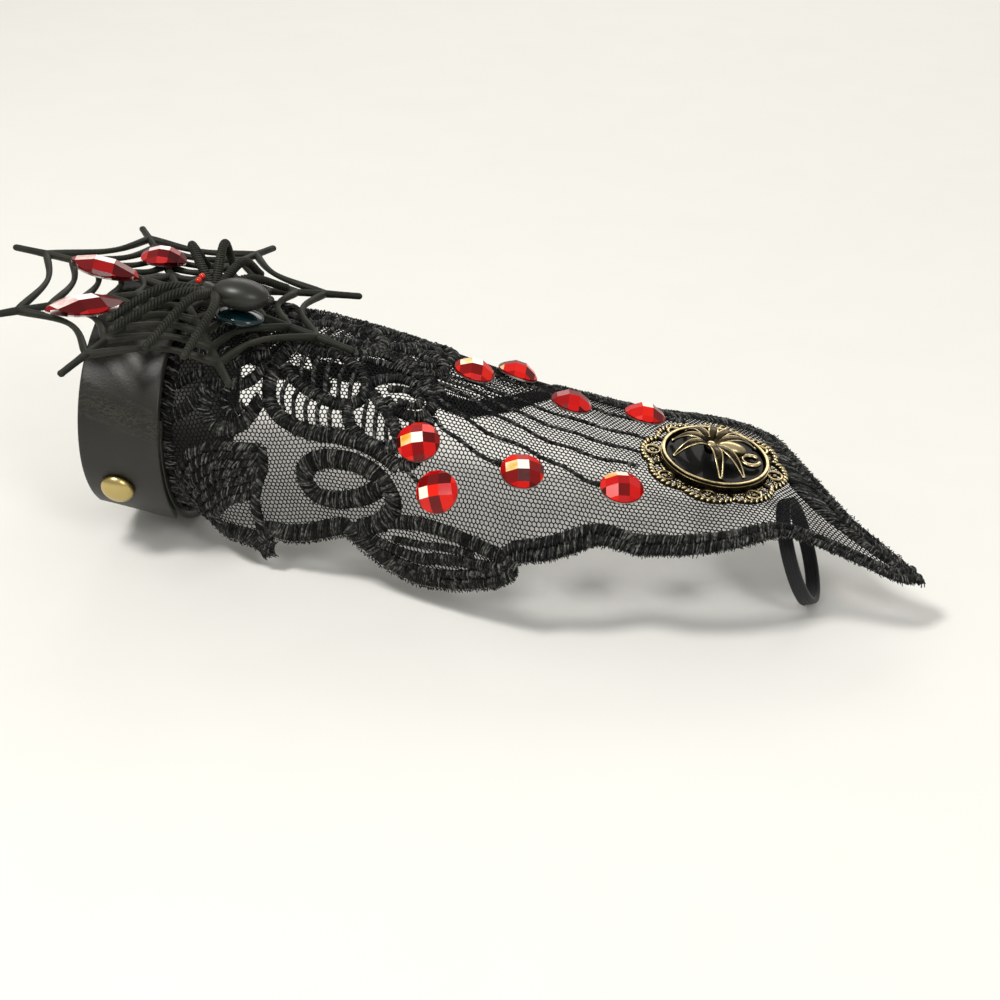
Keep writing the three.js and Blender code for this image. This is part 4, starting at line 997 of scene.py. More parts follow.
def seat_axes(normal):
    """Rows are the forward, sideways and outward directions of what stands on a normal."""
    sideways_axis = unit(np.cross(normal, (1, 0, 0)))
    return np.stack([np.cross(sideways_axis, normal), sideways_axis, normal])


def turned(profile, count=48):
    """Points and faces of a (radius, height) profile turned round the third axis."""
    profile = np.asarray(profile, float)
    turn = 2 * math.pi * np.arange(count) / count
    radius, height = profile[:, :1], profile[:, 1:]
    points = np.stack([radius * np.cos(turn), radius * np.sin(turn), height + 0 * turn], -1)
    return points, grid_faces(len(profile), count, wrap_columns=True)


def stud(brass):
    base, axes = stud_axes()
    foot = outer_layer + BAND_THICKNESS
    skirt = [(POLE, 0.1), (STUD_RADIUS - 0.35, 0.1), (STUD_RADIUS - 0.08, 0.2)]
    turn = np.linspace(0, math.pi / 2, 14)
    radius = np.maximum(STUD_RADIUS * np.cos(turn), POLE)
    height = STUD_SKIRT + (STUD_DOME_HEIGHT - 0.15) * np.sin(turn)
    profile = np.concatenate([skirt, np.stack([radius, height], -1)]) + (0, foot)
    add_parts(
        "brass_stud", [turned(profile)], brass, ["band_stud"],
        place=lambda points: points @ axes + base,
    )


# Cut stones

STONE_DIAMETER = 8
STONE_HEIGHT = 2.8
GIRDLE_HEIGHT = 0.8
STONE_FACET = 2.1
FACET_TURN = 12

# The girdle's wall starts over the foil, whose rim starts just over what the stone lies on
GIRDLE_FOOT = 0.35
FOIL_FOOT = 0.02

# The wall is only built where an edge of the dome ends this near the stone's unit circle
GIRDLE_REACH = 0.06

# Each stone's facets are painted as reflections: one white, one warm one beside it, and red ones of any shade
# up to a limit; the girdle's wall is a darker red.
# The facets are placed in shares of the stone's half length and half width.
WARM_FACET = (-0.45, -0.15)
ROUND_STONE_GLINTS = (-0.35, 0.35)
WHITE_SHADE = 1
WARM_SHADE = 0.935
LIGHTEST_RED = 0.9
GIRDLE_SHADE = 0.25


def depth_past(edge, point):
    """How far a flat point lies to the left of an edge, times the edge's length."""
    (x0, y0), (x1, y1) = edge
    return (x1 - x0) * (point[1] - y0) - (y1 - y0) * (point[0] - x0)


def clipped(polygon, outline):
    """A convex polygon cut by a convex outline, both flat and counterclockwise."""
    kept = [tuple(point) for point in polygon]
    for edge in zip(outline, np.roll(outline, -1, 0)):
        fresh = []
        for here, there in zip(kept, kept[1:] + kept[:1]):
            h, t = depth_past(edge, here), depth_past(edge, there)
            if h >= 0:
                fresh.append(here)
            if (h > 1e-9 and t < -1e-9) or (h < -1e-9 and t > 1e-9):
                share = h / (h - t)
                fresh.append(tuple(a + (b - a) * share for a, b in zip(here, there)))
        kept = fresh
        if len(kept) < 3:
            return []
    return kept


def facet_plane(flat, corners):
    """The slopes and height of the plane that fits a facet's corners on the stone's dome."""
    fall = STONE_HEIGHT - GIRDLE_HEIGHT
    heights = [STONE_HEIGHT - fall * (u * u + v * v) for u, v in corners]
    return np.linalg.lstsq(np.array([(x, y, 1) for x, y in flat]), np.array(heights), rcond=None)[0]


def painted_facet_reflection(middle, glint, facet):
    """How light a facet is painted, as a reflection: white at the glint, warm beside it, and else a chance
    red.
    """
    red = LIGHTEST_RED * float(chance.random())
    if np.abs(middle - glint).max() < facet / 2:
        return WHITE_SHADE
    if np.abs(middle - glint - WARM_FACET).max() < facet / 2:
        return WARM_SHADE
    return red


def cut_stone(name, outline, half_sizes, facets_across, base, axes, materials, node, glint):
    """A stone with a chequer of flat facets on its dome, a girdle, and foil under it."""
    cells = math.ceil(facets_across / 2) * 2 + 1
    facet = 2 / facets_across
    c, s = math.cos(math.radians(FACET_TURN)), math.sin(math.radians(FACET_TURN))
    mesh = bmesh.new()
    # Each face's facet value is how light it is painted, a painted reflection.
    shade = mesh.faces.layers.float.new("facet")
    unit_outline = outline / half_sizes

    def add_face(corners):
        local = np.array([(*np.multiply(point, half_sizes), height) for point, height in corners])
        return mesh.faces.new([mesh.verts.new((point @ axes + base) * MM) for point in local])

    for i, j in np.ndindex(cells, cells):
        u0, v0 = (i - cells / 2) * facet, (j - cells / 2) * facet
        corners = [(u0, v0), (u0 + facet, v0), (u0 + facet, v0 + facet), (u0, v0 + facet)]
        flat = [(u * c - v * s, u * s + v * c) for u, v in corners]
        piece = clipped(flat, unit_outline)
        if not piece:
            continue
        plane = facet_plane(flat, corners)
        heights = [plane[0] * x + plane[1] * y + plane[2] for x, y in piece]
        top = list(zip(piece, heights))
        add_face(top)[shade] = painted_facet_reflection(np.mean(flat, 0), glint, facet)
        for (a, height_a), (b, height_b) in zip(top, top[1:] + top[:1]):
            if min(abs(np.hypot(*a) - 1), abs(np.hypot(*b) - 1)) > GIRDLE_REACH:
                continue
            if not on_edge(np.add(a, b) / 2, unit_outline):
                continue
            wall = add_face([(a, GIRDLE_FOOT), (b, GIRDLE_FOOT), (b, height_b), (a, height_a)])
            wall[shade] = GIRDLE_SHADE
            rim = add_face([(a, FOIL_FOOT), (b, FOIL_FOOT), (b, GIRDLE_FOOT), (a, GIRDLE_FOOT)])
            rim.material_index = 1
    under = add_face([(point, FOIL_FOOT) for point in unit_outline[::-1]])
    under.material_index = 1
    bmesh.ops.remove_doubles(mesh, verts=mesh.verts, dist=1e-6)
    data = bpy.data.meshes.new(name)
    mesh.to_mesh(data)
    mesh.free()
    add_piece(name, data, materials, [node])


def on_edge(point, outline):
    a, b = outline, np.roll(outline, -1, 0)
    run = b - a
    share = np.clip(((point - a) * run).sum(1) / (run ** 2).sum(1), 0, 1)
    return np.min(np.linalg.norm(a + run * share[:, None] - point, axis=1)) < 1e-3


def node_points(node):
    return np.array([vertex.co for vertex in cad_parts[node].data.vertices]) / MM


def lace_seat(node, along, across):
    """Where a flat piece stands on the lace: its base on the frame's own node, and its axes."""
    x, run = along * CUFF_REACH, across * LACE_HALF_WIDTH
    surface = form_surface(x, run)
    normal = form_normal(x, run)
    height = np.min((node_points(node) - surface) @ normal)
    return surface + normal * height, seat_axes(normal)


LACE_STONES = [
    (0.386, -0.562), (0.419, -0.718), (0.513, -0.499), (0.633, -0.384),
    (0.424, -0.003), (0.471, 0.21), (0.548, 0.123), (0.64, 0.3),
]
SETTING_PLACE = (0.736, 0.025)


def circle(radius, count):
    turn = 2 * math.pi * np.arange(count) / count
    return np.stack([radius * np.cos(turn), radius * np.sin(turn)], -1)


def lace_stones(materials):
    radius = STONE_DIAMETER / 2
    for number, (along, across) in enumerate(LACE_STONES, 1):
        node = f"lace_stone_{number}"
        base, axes = lace_seat(node, along, across)
        cut_stone(
            f"round_stone_{number}", circle(radius, 56), (radius, radius), STONE_DIAMETER / STONE_FACET,
            base, axes, materials, node, chance.uniform(*ROUND_STONE_GLINTS, 2),
        )


# Web and what lies on it

WEB_RADIUS = 37.5
WEB_WIRE_RADIUS = 0.75
WEB_SPOKE_RADIUS = 0.8
WEB_DOME = 2
WEB_TILT = 7
WEB_FORWARD = 6.2
WEB_SIDE = -5.2
WEB_RING_SAG = 0.2
WEB_SPOKES = [
    (29, 0.97), (74.5, 0.94), (119.5, 0.98), (163, 1.05),
    (217, 1.05), (257, 1.08), (301.5, 1), (347.5, 1),
]
WEB_RINGS = [0.22, 0.36, 0.5, 0.65, 0.81]
WEB_NAVETTES = [(-0.41, 0.02, -14), (-0.34, -0.47, 40)]
WEB_DROP = (-0.18, 0.3, -5)
WEB_SPOKE_TAPER = 0.16
WEB_KNOT = 0.1
WEB_KNOT_LENGTH = 0.05
WEB_RING_STEPS = 14
NAVETTE_LENGTH = 15.5
NAVETTE_WIDTH = 7.5
NAVETTE_FACETS = 3.6
DROP_LENGTH = 9.2
DROP_WIDTH = 8.2
DROP_NARROWING = 0.22
# Where the facet painted white as a reflection lies on the web stones
WEB_STONE_GLINT = (0.1, -0.05)

tilt = math.radians(WEB_TILT)
web_axes = np.array([(math.cos(tilt), 0, -math.sin(tilt)), (0, 1, 0), (math.sin(tilt), 0, math.cos(tilt))])
web_flat = np.array([WEB_FORWARD, WEB_SIDE, 0.0])
web_height = ((node_points("web") - web_flat) @ web_axes[2]).max() - WEB_SPOKE_RADIUS
web_hub = web_flat + (0, 0, web_height / web_axes[2, 2])


def web_point(turn, radius):
    turn = np.radians(turn)
    fall = -WEB_DOME * (radius / WEB_RADIUS) ** 2
    return np.stack([radius * np.cos(turn), radius * np.sin(turn), fall], -1)


def on_web(local):
    return local @ web_axes + web_hub


def web_casting(cast):
    parts = []
    for turn, reach in WEB_SPOKES:
        share = np.linspace(0, 1, 24)
        path = web_point(turn, share * reach * WEB_RADIUS)
        knot = np.exp(-((share - WEB_RINGS[-1]) / WEB_KNOT_LENGTH) ** 2)
        radius = WEB_SPOKE_RADIUS * (1 - WEB_SPOKE_TAPER * share + WEB_KNOT * knot)
        parts.append(tubes(path, radius, 12))
        parts.append(ball(path[-1], radius[-1] * np.array((1.1, 1, 1))))
    for share in WEB_RINGS:
        path = []
        for (turn, reach), (next_turn, next_reach) in zip(WEB_SPOKES, WEB_SPOKES[1:] + WEB_SPOKES[:1]):
            part = np.arange(WEB_RING_STEPS) / WEB_RING_STEPS
            gap = (next_turn - turn) % 360
            radius = (reach + (next_reach - reach) * part) * share * WEB_RADIUS
            path.append(web_point(turn + gap * part, radius * (1 - WEB_RING_SAG * 4 * part * (1 - part))))
        path = np.concatenate(path)
        swell = np.cos(2 * math.pi * np.arange(len(path)) / WEB_RING_STEPS)
        parts.append(loop_tube(path, WEB_WIRE_RADIUS * (0.9 + 0.16 * swell), 10))
    add_parts("web_casting", parts, cast, ["web"], on_web)


def web_seat_height(x, y, radius):
    share = max(math.hypot(x, y) - radius, 0) / WEB_RADIUS
    return WEB_SPOKE_RADIUS + SEAT_GAP - WEB_DOME * share * share


def pointed_oval():
    a, b = NAVETTE_LENGTH / 2, NAVETTE_WIDTH / 2
    arc = (a * a + b * b) / (2 * b)
    sweep = math.asin(a / arc)
    angle = np.linspace(-sweep, sweep, 17)[:-1]
    low = np.stack([arc * np.sin(angle), -(arc * np.cos(angle) - arc + b)], -1)
    return np.concatenate([low, -low])


def drop_outline():
    angle = 2 * math.pi * np.arange(40) / 40
    spread = np.sin(angle) * (1 - DROP_NARROWING * np.cos(angle))
    return np.stack([DROP_LENGTH / 2 * np.cos(angle), DROP_WIDTH / 2 * spread / spread.max()], -1)


def web_stones(materials):
    stones = [
        ("web_navette_1", pointed_oval(), NAVETTE_LENGTH, NAVETTE_WIDTH, NAVETTE_FACETS, WEB_NAVETTES[0]),
        ("web_navette_2", pointed_oval(), NAVETTE_LENGTH, NAVETTE_WIDTH, NAVETTE_FACETS, WEB_NAVETTES[1]),
        ("web_drop", drop_outline(), DROP_LENGTH, DROP_WIDTH, DROP_LENGTH / STONE_FACET, WEB_DROP),
    ]
    for node, outline, length, width, facets, (x, y, turn) in stones:
        x, y = x * WEB_RADIUS, y * WEB_RADIUS
        base = on_web(np.array([x, y, web_seat_height(x, y, NAVETTE_LENGTH / 2)]))
        c, s = math.cos(math.radians(turn)), math.sin(math.radians(turn))
        axes = np.array([(c, s, 0), (-s, c, 0), (0, 0, 1)]) @ web_axes
        half_sizes = (length / 2, width / 2)
        cut_stone(f"{node}_cut", outline, half_sizes, facets, base, axes, materials, node, WEB_STONE_GLINT)


# Spider of the web, about its own middle in the web's plane

SPIDER_FORWARD = 11
SPIDER_SIDE = -9.7
SPIDER_LEG_RADIUS = 1.05
SPIDER_LEG_REACH = 20
SPIDER_ABDOMEN = (11, 7.6, 5.8)
SPIDER_ABDOMEN_BACK = 3.85
SPIDER_HEAD = (5, 4.5, 3.6)
SPIDER_EYE_RADIUS = 0.6
PAD_LENGTH = 9.5
PAD_WIDTH = 7
PAD_HEIGHT = 1.9
PAD_EDGE_SHARE = 0.3
PLAIT_STEP = 0.08
PLAIT_PITCH = 0.72
PLAIT_LEAN = 1.5

# A strand's run round the leg in degrees from its side, and widths in shares of the leg's
PLAIT_TURN = (96, -84)
PLAIT_POINTS = 8
PLAIT_TAPER = 0.25
STRAND_RADIUS = 0.3
STRAND_REACH = 0.76
STRAND_FLATNESS = 0.8
CORE_RADIUS = 0.74

# Knee and foot of each leg, in shares of the leg reach: x, y and rise, then x and y
SPIDER_LEGS = [
    (-0.5, -0.2, 0.31, -0.88, -0.58),
    (-0.37, -0.32, 0.31, -0.79, -0.77),
    (-0.2, -0.38, 0.31, -0.4, -0.97),
    (0.05, -0.42, 0.3, -0.03, -1),
    (-0.5, 0.66, 0.42, -0.42, 0.98),
    (-0.22, 0.8, 0.44, -0.2, 1.12),
    (0.02, 0.62, 0.36, 0.1, 1.05),
    (0.16, 0.4, 0.3, 0.42, 0.85),
]
pad_seat = web_seat_height(SPIDER_FORWARD + SPIDER_ABDOMEN_BACK, SPIDER_SIDE, PAD_LENGTH / 2)
body_middle = pad_seat + PAD_HEIGHT + SEAT_GAP + SPIDER_ABDOMEN[2] / 2
spider_head = np.array([-3, 0, body_middle - 0.6])

# Points of a feeler from the middle of the head
SPIDER_FEELER = np.array([(-1.6, 0.8, 0), (-3, 1.3, 0.3), (-4.4, 1.1, -0.5)])


def on_spider(local):
    return on_web(np.asarray(local) + (SPIDER_FORWARD, SPIDER_SIDE, 0))


def plait(path, radius):
    """Strands in Vs over a round core: each runs from the ridge down and back round a side."""
    path = resample(path, PLAIT_STEP)
    run = unit(np.gradient(path, axis=0))
    side = unit(np.cross(UP, run))
    rise = np.cross(run, side)
    reach = len(path) - 1
    starts = np.arange(0, reach - 1, PLAIT_PITCH / PLAIT_STEP)
    turn = np.radians(np.linspace(*PLAIT_TURN, PLAIT_POINTS))[:, None]
    steps = starts[:, None] + (np.linspace(0, 1, PLAIT_POINTS) * PLAIT_LEAN / PLAIT_STEP)[None]
    index = np.clip(steps, 0, reach).astype(int)
    taper = radius * (1 - PLAIT_TAPER * (index / reach))[..., None]
    parts = []
    for hand in (-1, 1):
        out = side[index] * (hand * np.cos(turn)) + rise[index] * np.sin(turn)
        strand = path[index] + out * taper * STRAND_REACH
        parts.append(tubes(strand, STRAND_RADIUS * taper[..., 0], 5, out, flatten=STRAND_FLATNESS))
    core = resample(path, 0.8)
    parts.append(tubes(core, radius * CORE_RADIUS * np.linspace(1, 1 - PLAIT_TAPER, len(core)), 8))
    parts.append(ball(path[-1], radius * 0.72))
    return parts


def spider(cast, smooth):
    """The cast spider: plaited legs and feelers, and a smooth body."""
    parts = []
    root = (-1.3, 0, spider_head[2])
    for knee_x, knee_y, knee_rise, foot_x, foot_y in SPIDER_LEGS:
        knee = np.array([knee_x, knee_y, knee_rise]) * SPIDER_LEG_REACH
        foot = np.array([foot_x * SPIDER_LEG_REACH, foot_y * SPIDER_LEG_REACH, SPIDER_LEG_RADIUS])
        foot[2] += web_seat_height(SPIDER_FORWARD + foot[0], SPIDER_SIDE + foot[1], SPIDER_LEG_RADIUS)
        parts += plait(curve_through([root, knee, foot], 40), SPIDER_LEG_RADIUS)
    for hand in (-1, 1):
        feeler = spider_head + SPIDER_FEELER * (1, hand, 1)
        parts.append(tubes(curve_through(feeler, 8), np.linspace(0.5, 0.34, 17), 8))
        parts.append(ball(feeler[-1], 0.45))
    add_parts("spider_legs", parts, cast, ["web_spider"], on_spider)
    length, width, height = SPIDER_ABDOMEN
    middle = (SPIDER_ABDOMEN_BACK, 0, body_middle)
    body = [
        ball(middle, (length / 2, width / 2, height / 2), across=40, down=28),
        ball(spider_head, np.array(SPIDER_HEAD) / 2, across=32, down=22),
        ball((SPIDER_ABDOMEN_BACK + length / 2, 0, body_middle), (1.0, 0.8, 0.8), across=20, down=12),
    ]
    add_parts("spider_body", body, smooth, place=on_spider)


def spider_eyes(bead):
    for hand, node in ((1, "spider_eye_left"), (-1, "spider_eye_right")):
        way = unit(np.array([-0.42, hand * 0.4, 0.85]))
        reach = 1 / np.linalg.norm(way / (np.array(SPIDER_HEAD) / 2)) + SPIDER_EYE_RADIUS + SEAT_GAP
        parts = [ball(spider_head + way * reach, SPIDER_EYE_RADIUS, across=20, down=14)]
        add_parts(f"{node}_bead", parts, bead, [node], on_spider)


def spider_pad(glass):
    """A domed glass oval under the abdomen."""
    turn = np.linspace(0, math.pi / 2, 16)
    radius = np.maximum(np.cos(turn), POLE)
    dome = np.stack([radius, PAD_EDGE_SHARE + (1 - PAD_EDGE_SHARE) * np.sin(turn)], -1)
    points, faces = turned(np.concatenate([[(POLE, 0), (0.97, 0), (1, 0.04)], dome]), 56)
    points = points * (PAD_LENGTH / 2, PAD_WIDTH / 2, PAD_HEIGHT) + (SPIDER_ABDOMEN_BACK, 0, pad_seat)
    add_parts("teal_pad", [(points, faces)], glass, ["spider_pad"], on_spider)


# Filigree setting, its disc and its charm

BEZEL_RADIUS = 10.2
BEZEL_WALL = 0.7
BEZEL_HEIGHT = 2.6
LEDGE_WIDTH = 1.2
LEDGE_HEIGHT = 0.9
DISC_THICKNESS = 0.7
FILIGREE_RADIUS = 14.1
FILIGREE_LOBES = 8
FILIGREE_LOBE_DEPTH = 1.5
FILIGREE_WIRE_RADIUS = 0.55
FILIGREE_RING_WIRE_RADIUS = 0.4
FILIGREE_ROPE_RADIUS = 0.62
FOOT_ROPE_RADIUS = 0.34
SCROLL_ROPE_RADIUS = 0.32
SCROLL_RADIUS = 0.82
SCROLL_ANGLE = 0.205
SCROLL_TURN = 1.2
SCROLL_HEIGHT = 0.42
BASE_WIRE_RADIUS = 0.36
BEZEL_LINE_RADIUS = 0.2
BEZEL_BEND = 0.18

# A rope's beads, in shares of its radius: the space from one to the next, and half sizes
ROPE_PITCH = 1.75
ROPE_BEAD = (1.15, 0.55, 0.95)
CHARM_HEAD_RADIUS = 1.25
CHARM_ARCH = 1.6
CHARM_ABDOMEN = (5.6, 3.4, 2.7)
CHARM_LOOP_RADIUS = 1.7
CHARM_LOOP_WIRE_RADIUS = 0.5
CHARM_KNEE_RISE = 4.2
CHARM_KNEE_SHARE = 0.5
CHARM_LEG_HALF_WIDTH = 0.62
CHARM_BLADE_FLATNESS = 0.45
CHARM_RIM_RADIUS = 0.22
CHARM_TOE_RADIUS = 0.42
CHARM_ABDOMEN_LIFT = 0.7
CHARM_LEG_TURNS = [35, 68, 100, 137, 170, 207, 281, 313]
setting_base, setting_axes = lace_seat("filigree_setting", *SETTING_PLACE)
disc_top = LEDGE_HEIGHT + SEAT_GAP + DISC_THICKNESS
disc_radius = BEZEL_RADIUS - BEZEL_WALL - SEAT_GAP


def on_setting(local):
    return np.asarray(local) @ setting_axes + setting_base


def polar(turn, radius, height):
    turn, radius, height = np.broadcast_arrays(turn, radius, height)
    return np.stack([radius * np.cos(turn), radius * np.sin(turn), height], -1)


def rope(path, radius, closed=True):
    """A wire of slanted beads along a path."""
    path = np.concatenate([path, path[:1]]) if closed else path
    places = resample(path, radius * ROPE_PITCH)
    places = places[:-1] if closed else places
    run = np.roll(places, -1, 0) - np.roll(places, 1, 0) if closed else np.gradient(places, axis=0)
    run = unit(run)
    side = unit(np.cross(UP, run))
    half_sizes = radius * np.array(ROPE_BEAD)
    parts = []
    for place, axis in zip(places, unit(run * 0.5 + side * 0.87)):
        axes = np.stack([axis, unit(np.cross(UP, axis)), UP])
        parts.append(ball(place, half_sizes, axes, across=10, down=8))
    return parts


def filigree(bronze, beads, dark):
    """The pierced setting: a bezel with a rope foot, small rings and a scalloped rope on dark wire."""
    turn = np.linspace(0, 2 * math.pi, FILIGREE_LOBES * 24, endpoint=False)
    lobe = np.abs(np.cos(FILIGREE_LOBES * turn / 2)) ** 0.7
    edge = FILIGREE_RADIUS - FILIGREE_WIRE_RADIUS - FILIGREE_LOBE_DEPTH * (1 - lobe)
    foot = np.linspace(0, 2 * math.pi, 90, endpoint=False)
    ropes = rope(polar(turn, edge, FILIGREE_WIRE_RADIUS + 0.1), FILIGREE_ROPE_RADIUS)
    ropes += rope(polar(foot, BEZEL_RADIUS + 0.3, 0.36), FOOT_ROPE_RADIUS)
    wires = [loop_tube(polar(turn, edge - 0.15, 0.35), BASE_WIRE_RADIUS, 8)]
    inside_rim = FILIGREE_RADIUS - 2 * FILIGREE_WIRE_RADIUS
    ring_place = (BEZEL_RADIUS + inside_rim) / 2
    ring_radius = (inside_rim - BEZEL_RADIUS) / 2
    small = np.linspace(0, 2 * math.pi, 28, endpoint=False)
    strut_reach = np.array([BEZEL_RADIUS - 0.3, FILIGREE_RADIUS - 2.05])
    parts = []
    for i in range(FILIGREE_LOBES):
        middle = 2 * math.pi * i / FILIGREE_LOBES
        centre = polar(middle, ring_place, FILIGREE_WIRE_RADIUS)
        parts.append(loop_tube(centre + polar(small, ring_radius, 0.0), FILIGREE_RING_WIRE_RADIUS, 10))
        parts.append(ball(centre, (0.55, 0.55, 0.4), across=14, down=10))
        for hand in (-1, 1):
            near = polar(middle + hand * SCROLL_ANGLE, ring_place - 0.35, SCROLL_HEIGHT)
            arc = polar(small[:20] + middle + hand * SCROLL_TURN, SCROLL_RADIUS, 0.0)
            ropes += rope(near + arc, SCROLL_ROPE_RADIUS, closed=False)
        strut = polar(middle + math.pi / FILIGREE_LOBES, strut_reach, FILIGREE_WIRE_RADIUS)
        wires.append(tubes(strut, FILIGREE_RING_WIRE_RADIUS, 8))
    parts.append(loop_tube(polar(foot, BEZEL_RADIUS + 0.02, BEZEL_HEIGHT - 0.75), BEZEL_LINE_RADIUS, 8))
    inner = BEZEL_RADIUS - BEZEL_WALL
    bezel = [
        (inner - LEDGE_WIDTH, 0), (BEZEL_RADIUS, 0), (BEZEL_RADIUS, BEZEL_HEIGHT - BEZEL_BEND),
        (BEZEL_RADIUS - 0.06, BEZEL_HEIGHT - 0.05), (BEZEL_RADIUS - BEZEL_BEND, BEZEL_HEIGHT),
        (inner + BEZEL_BEND, BEZEL_HEIGHT), (inner + 0.05, BEZEL_HEIGHT - 0.06),
        (inner, BEZEL_HEIGHT - BEZEL_BEND), (inner, LEDGE_HEIGHT), (inner - LEDGE_WIDTH, LEDGE_HEIGHT),
        (inner - LEDGE_WIDTH, 0),
    ]
    parts.append(turned(bezel, 96))
    add_parts("filigree_casting", parts, bronze, ["filigree_setting"], on_setting)
    add_parts("filigree_ropes", ropes, beads, place=on_setting)
    add_parts("filigree_wires", wires, dark, place=on_setting)


def disc(glass):
    foot = disc_top - DISC_THICKNESS
    profile = [
        (POLE, foot), (disc_radius, foot), (disc_radius, disc_top - 0.08), (disc_radius - 0.1, disc_top),
        (POLE, disc_top),
    ]
    add_parts(
        "dark_disc", [turned(profile, 96)], glass, ["setting_disc"], on_setting, smooth=False,
    )


def charm(bronze, dark):
    """The spider charm: arched blades with a bright rim as legs, a raised body and a ring at its tail."""
    floor = disc_top + SEAT_GAP
    head = np.array([-CHARM_HEAD_RADIUS, 0, floor + CHARM_ARCH])
    parts = []
    blades = []
    for degrees in CHARM_LEG_TURNS:
        foot = polar(math.radians(degrees), disc_radius - 0.8, floor + 0.4)
        knee = head + (foot - head) * CHARM_KNEE_SHARE + (0, 0, CHARM_KNEE_RISE)
        u = np.linspace(0, 1, 28)[:, None]
        line = (1 - u) ** 2 * head + 2 * u * (1 - u) * knee + u ** 2 * foot
        half = CHARM_LEG_HALF_WIDTH * (0.3 + np.sin(math.pi * u ** 0.8) ** 0.8)
        blades.append(tubes(line, half[:, 0], 14, flatten=CHARM_BLADE_FLATNESS))
        side = unit(np.cross(UP, foot - head))
        parts += [tubes(line + hand * half * side, CHARM_RIM_RADIUS, 8) for hand in (-1, 1)]
        parts.append(ball(line[-1], CHARM_TOE_RADIUS))
    parts.append(ball(head, CHARM_HEAD_RADIUS, across=28, down=20))
    length, width, height = CHARM_ABDOMEN
    abdomen_x = length / 2 - 0.25
    abdomen = (abdomen_x, 0, floor + height / 2 + CHARM_ABDOMEN_LIFT)
    parts.append(ball(abdomen, (length / 2, width / 2, height / 2), across=32, down=24))
    loop_x = min(abdomen_x + length / 2 + 1.2, disc_radius - CHARM_LOOP_RADIUS - CHARM_LOOP_WIRE_RADIUS)
    sweep = np.radians(np.linspace(60, 350, 30))
    ring = polar(sweep, CHARM_LOOP_RADIUS, 0.0) + (loop_x, 0, floor + CHARM_LOOP_WIRE_RADIUS)
    parts.append(tubes(ring, CHARM_LOOP_WIRE_RADIUS, 12))
    parts += [ball(end, CHARM_LOOP_WIRE_RADIUS) for end in (ring[0], ring[-1])]
    add_parts("charm_casting", parts, bronze, ["charm_spider"], on_setting)
    add_parts("charm_blades", blades, dark, place=on_setting)


# Elastic finger loop

LOOP_PLACE = (0.828, -0.03)
LOOP_INNER_RADIUS = 9
LOOP_WIDTH = 2.6
LOOP_THICKNESS = 1.2
LOOP_TILT = 34
LOOP_RIBS = 4
LOOP_RIB_DEPTH = 0.16
LOOP_STEPS = 160


def finger_loop(elastic):
    """A flat ring of ribbed elastic that hangs tilted under the lace."""
    half = LOOP_WIDTH / 2
    outer = LOOP_INNER_RADIUS + LOOP_THICKNESS
    u = np.linspace(-1, 1, 33)
    ripple = LOOP_RIB_DEPTH * (1 - np.abs(np.cos(math.pi * LOOP_RIBS * (u + 1) / 2)) ** 3)
    back = np.stack([u * half, outer - LOOP_RIB_DEPTH + ripple], -1)
    front = np.stack([u[::-1] * half, LOOP_INNER_RADIUS + LOOP_RIB_DEPTH - ripple], -1)
    x, radius = np.concatenate([back, front]).T
    turn = np.linspace(0, 2 * math.pi, LOOP_STEPS, endpoint=False)[:, None]
    z = radius * np.cos(turn)
    lean = math.radians(LOOP_TILT)
    c, s = math.cos(lean), math.sin(lean)
    points = np.stack([x * c - z * s, radius * np.sin(turn), x * s + z * c], -1)
    points = points + (outer * s, 0, -SEAT_GAP - s * half - outer * c)
    along, across = LOOP_PLACE[0] * CUFF_REACH, LOOP_PLACE[1] * LACE_HALF_WIDTH
    points = points @ seat_axes(form_normal(along, across)) + form_surface(along, across)
    faces = grid_faces(LOOP_STEPS, len(x), wrap_rows=True, wrap_columns=True)
    add_parts("elastic_loop", [(points, faces)], elastic, ["finger_loop"])


# Floor, lights and camera

FLOOR_HALF = 3.0
LAMP_TARGET = Vector((0.07, -0.01, -0.01))

# Each lamp's name, place, size, power and colour
LAMPS = [
    ("key", (-0.25, -0.3, 0.75), (0.2, 0.2), 4.6, (1.0, 0.99, 0.96)),
    ("window", (0.5, -0.55, 0.5), (0.2, 0.3), 1.8, (0.97, 0.98, 1.0)),
    ("back", (0.1, 0.7, 0.45), (0.8, 0.3), 1.6, (1.0, 0.98, 0.95)),
]
CAMERA_PLACE = (0.13317, -0.36685, 0.17071)
CAMERA_AZIMUTH = 10
CAMERA_ELEVATION = 27
CAMERA_LENS = 74.88


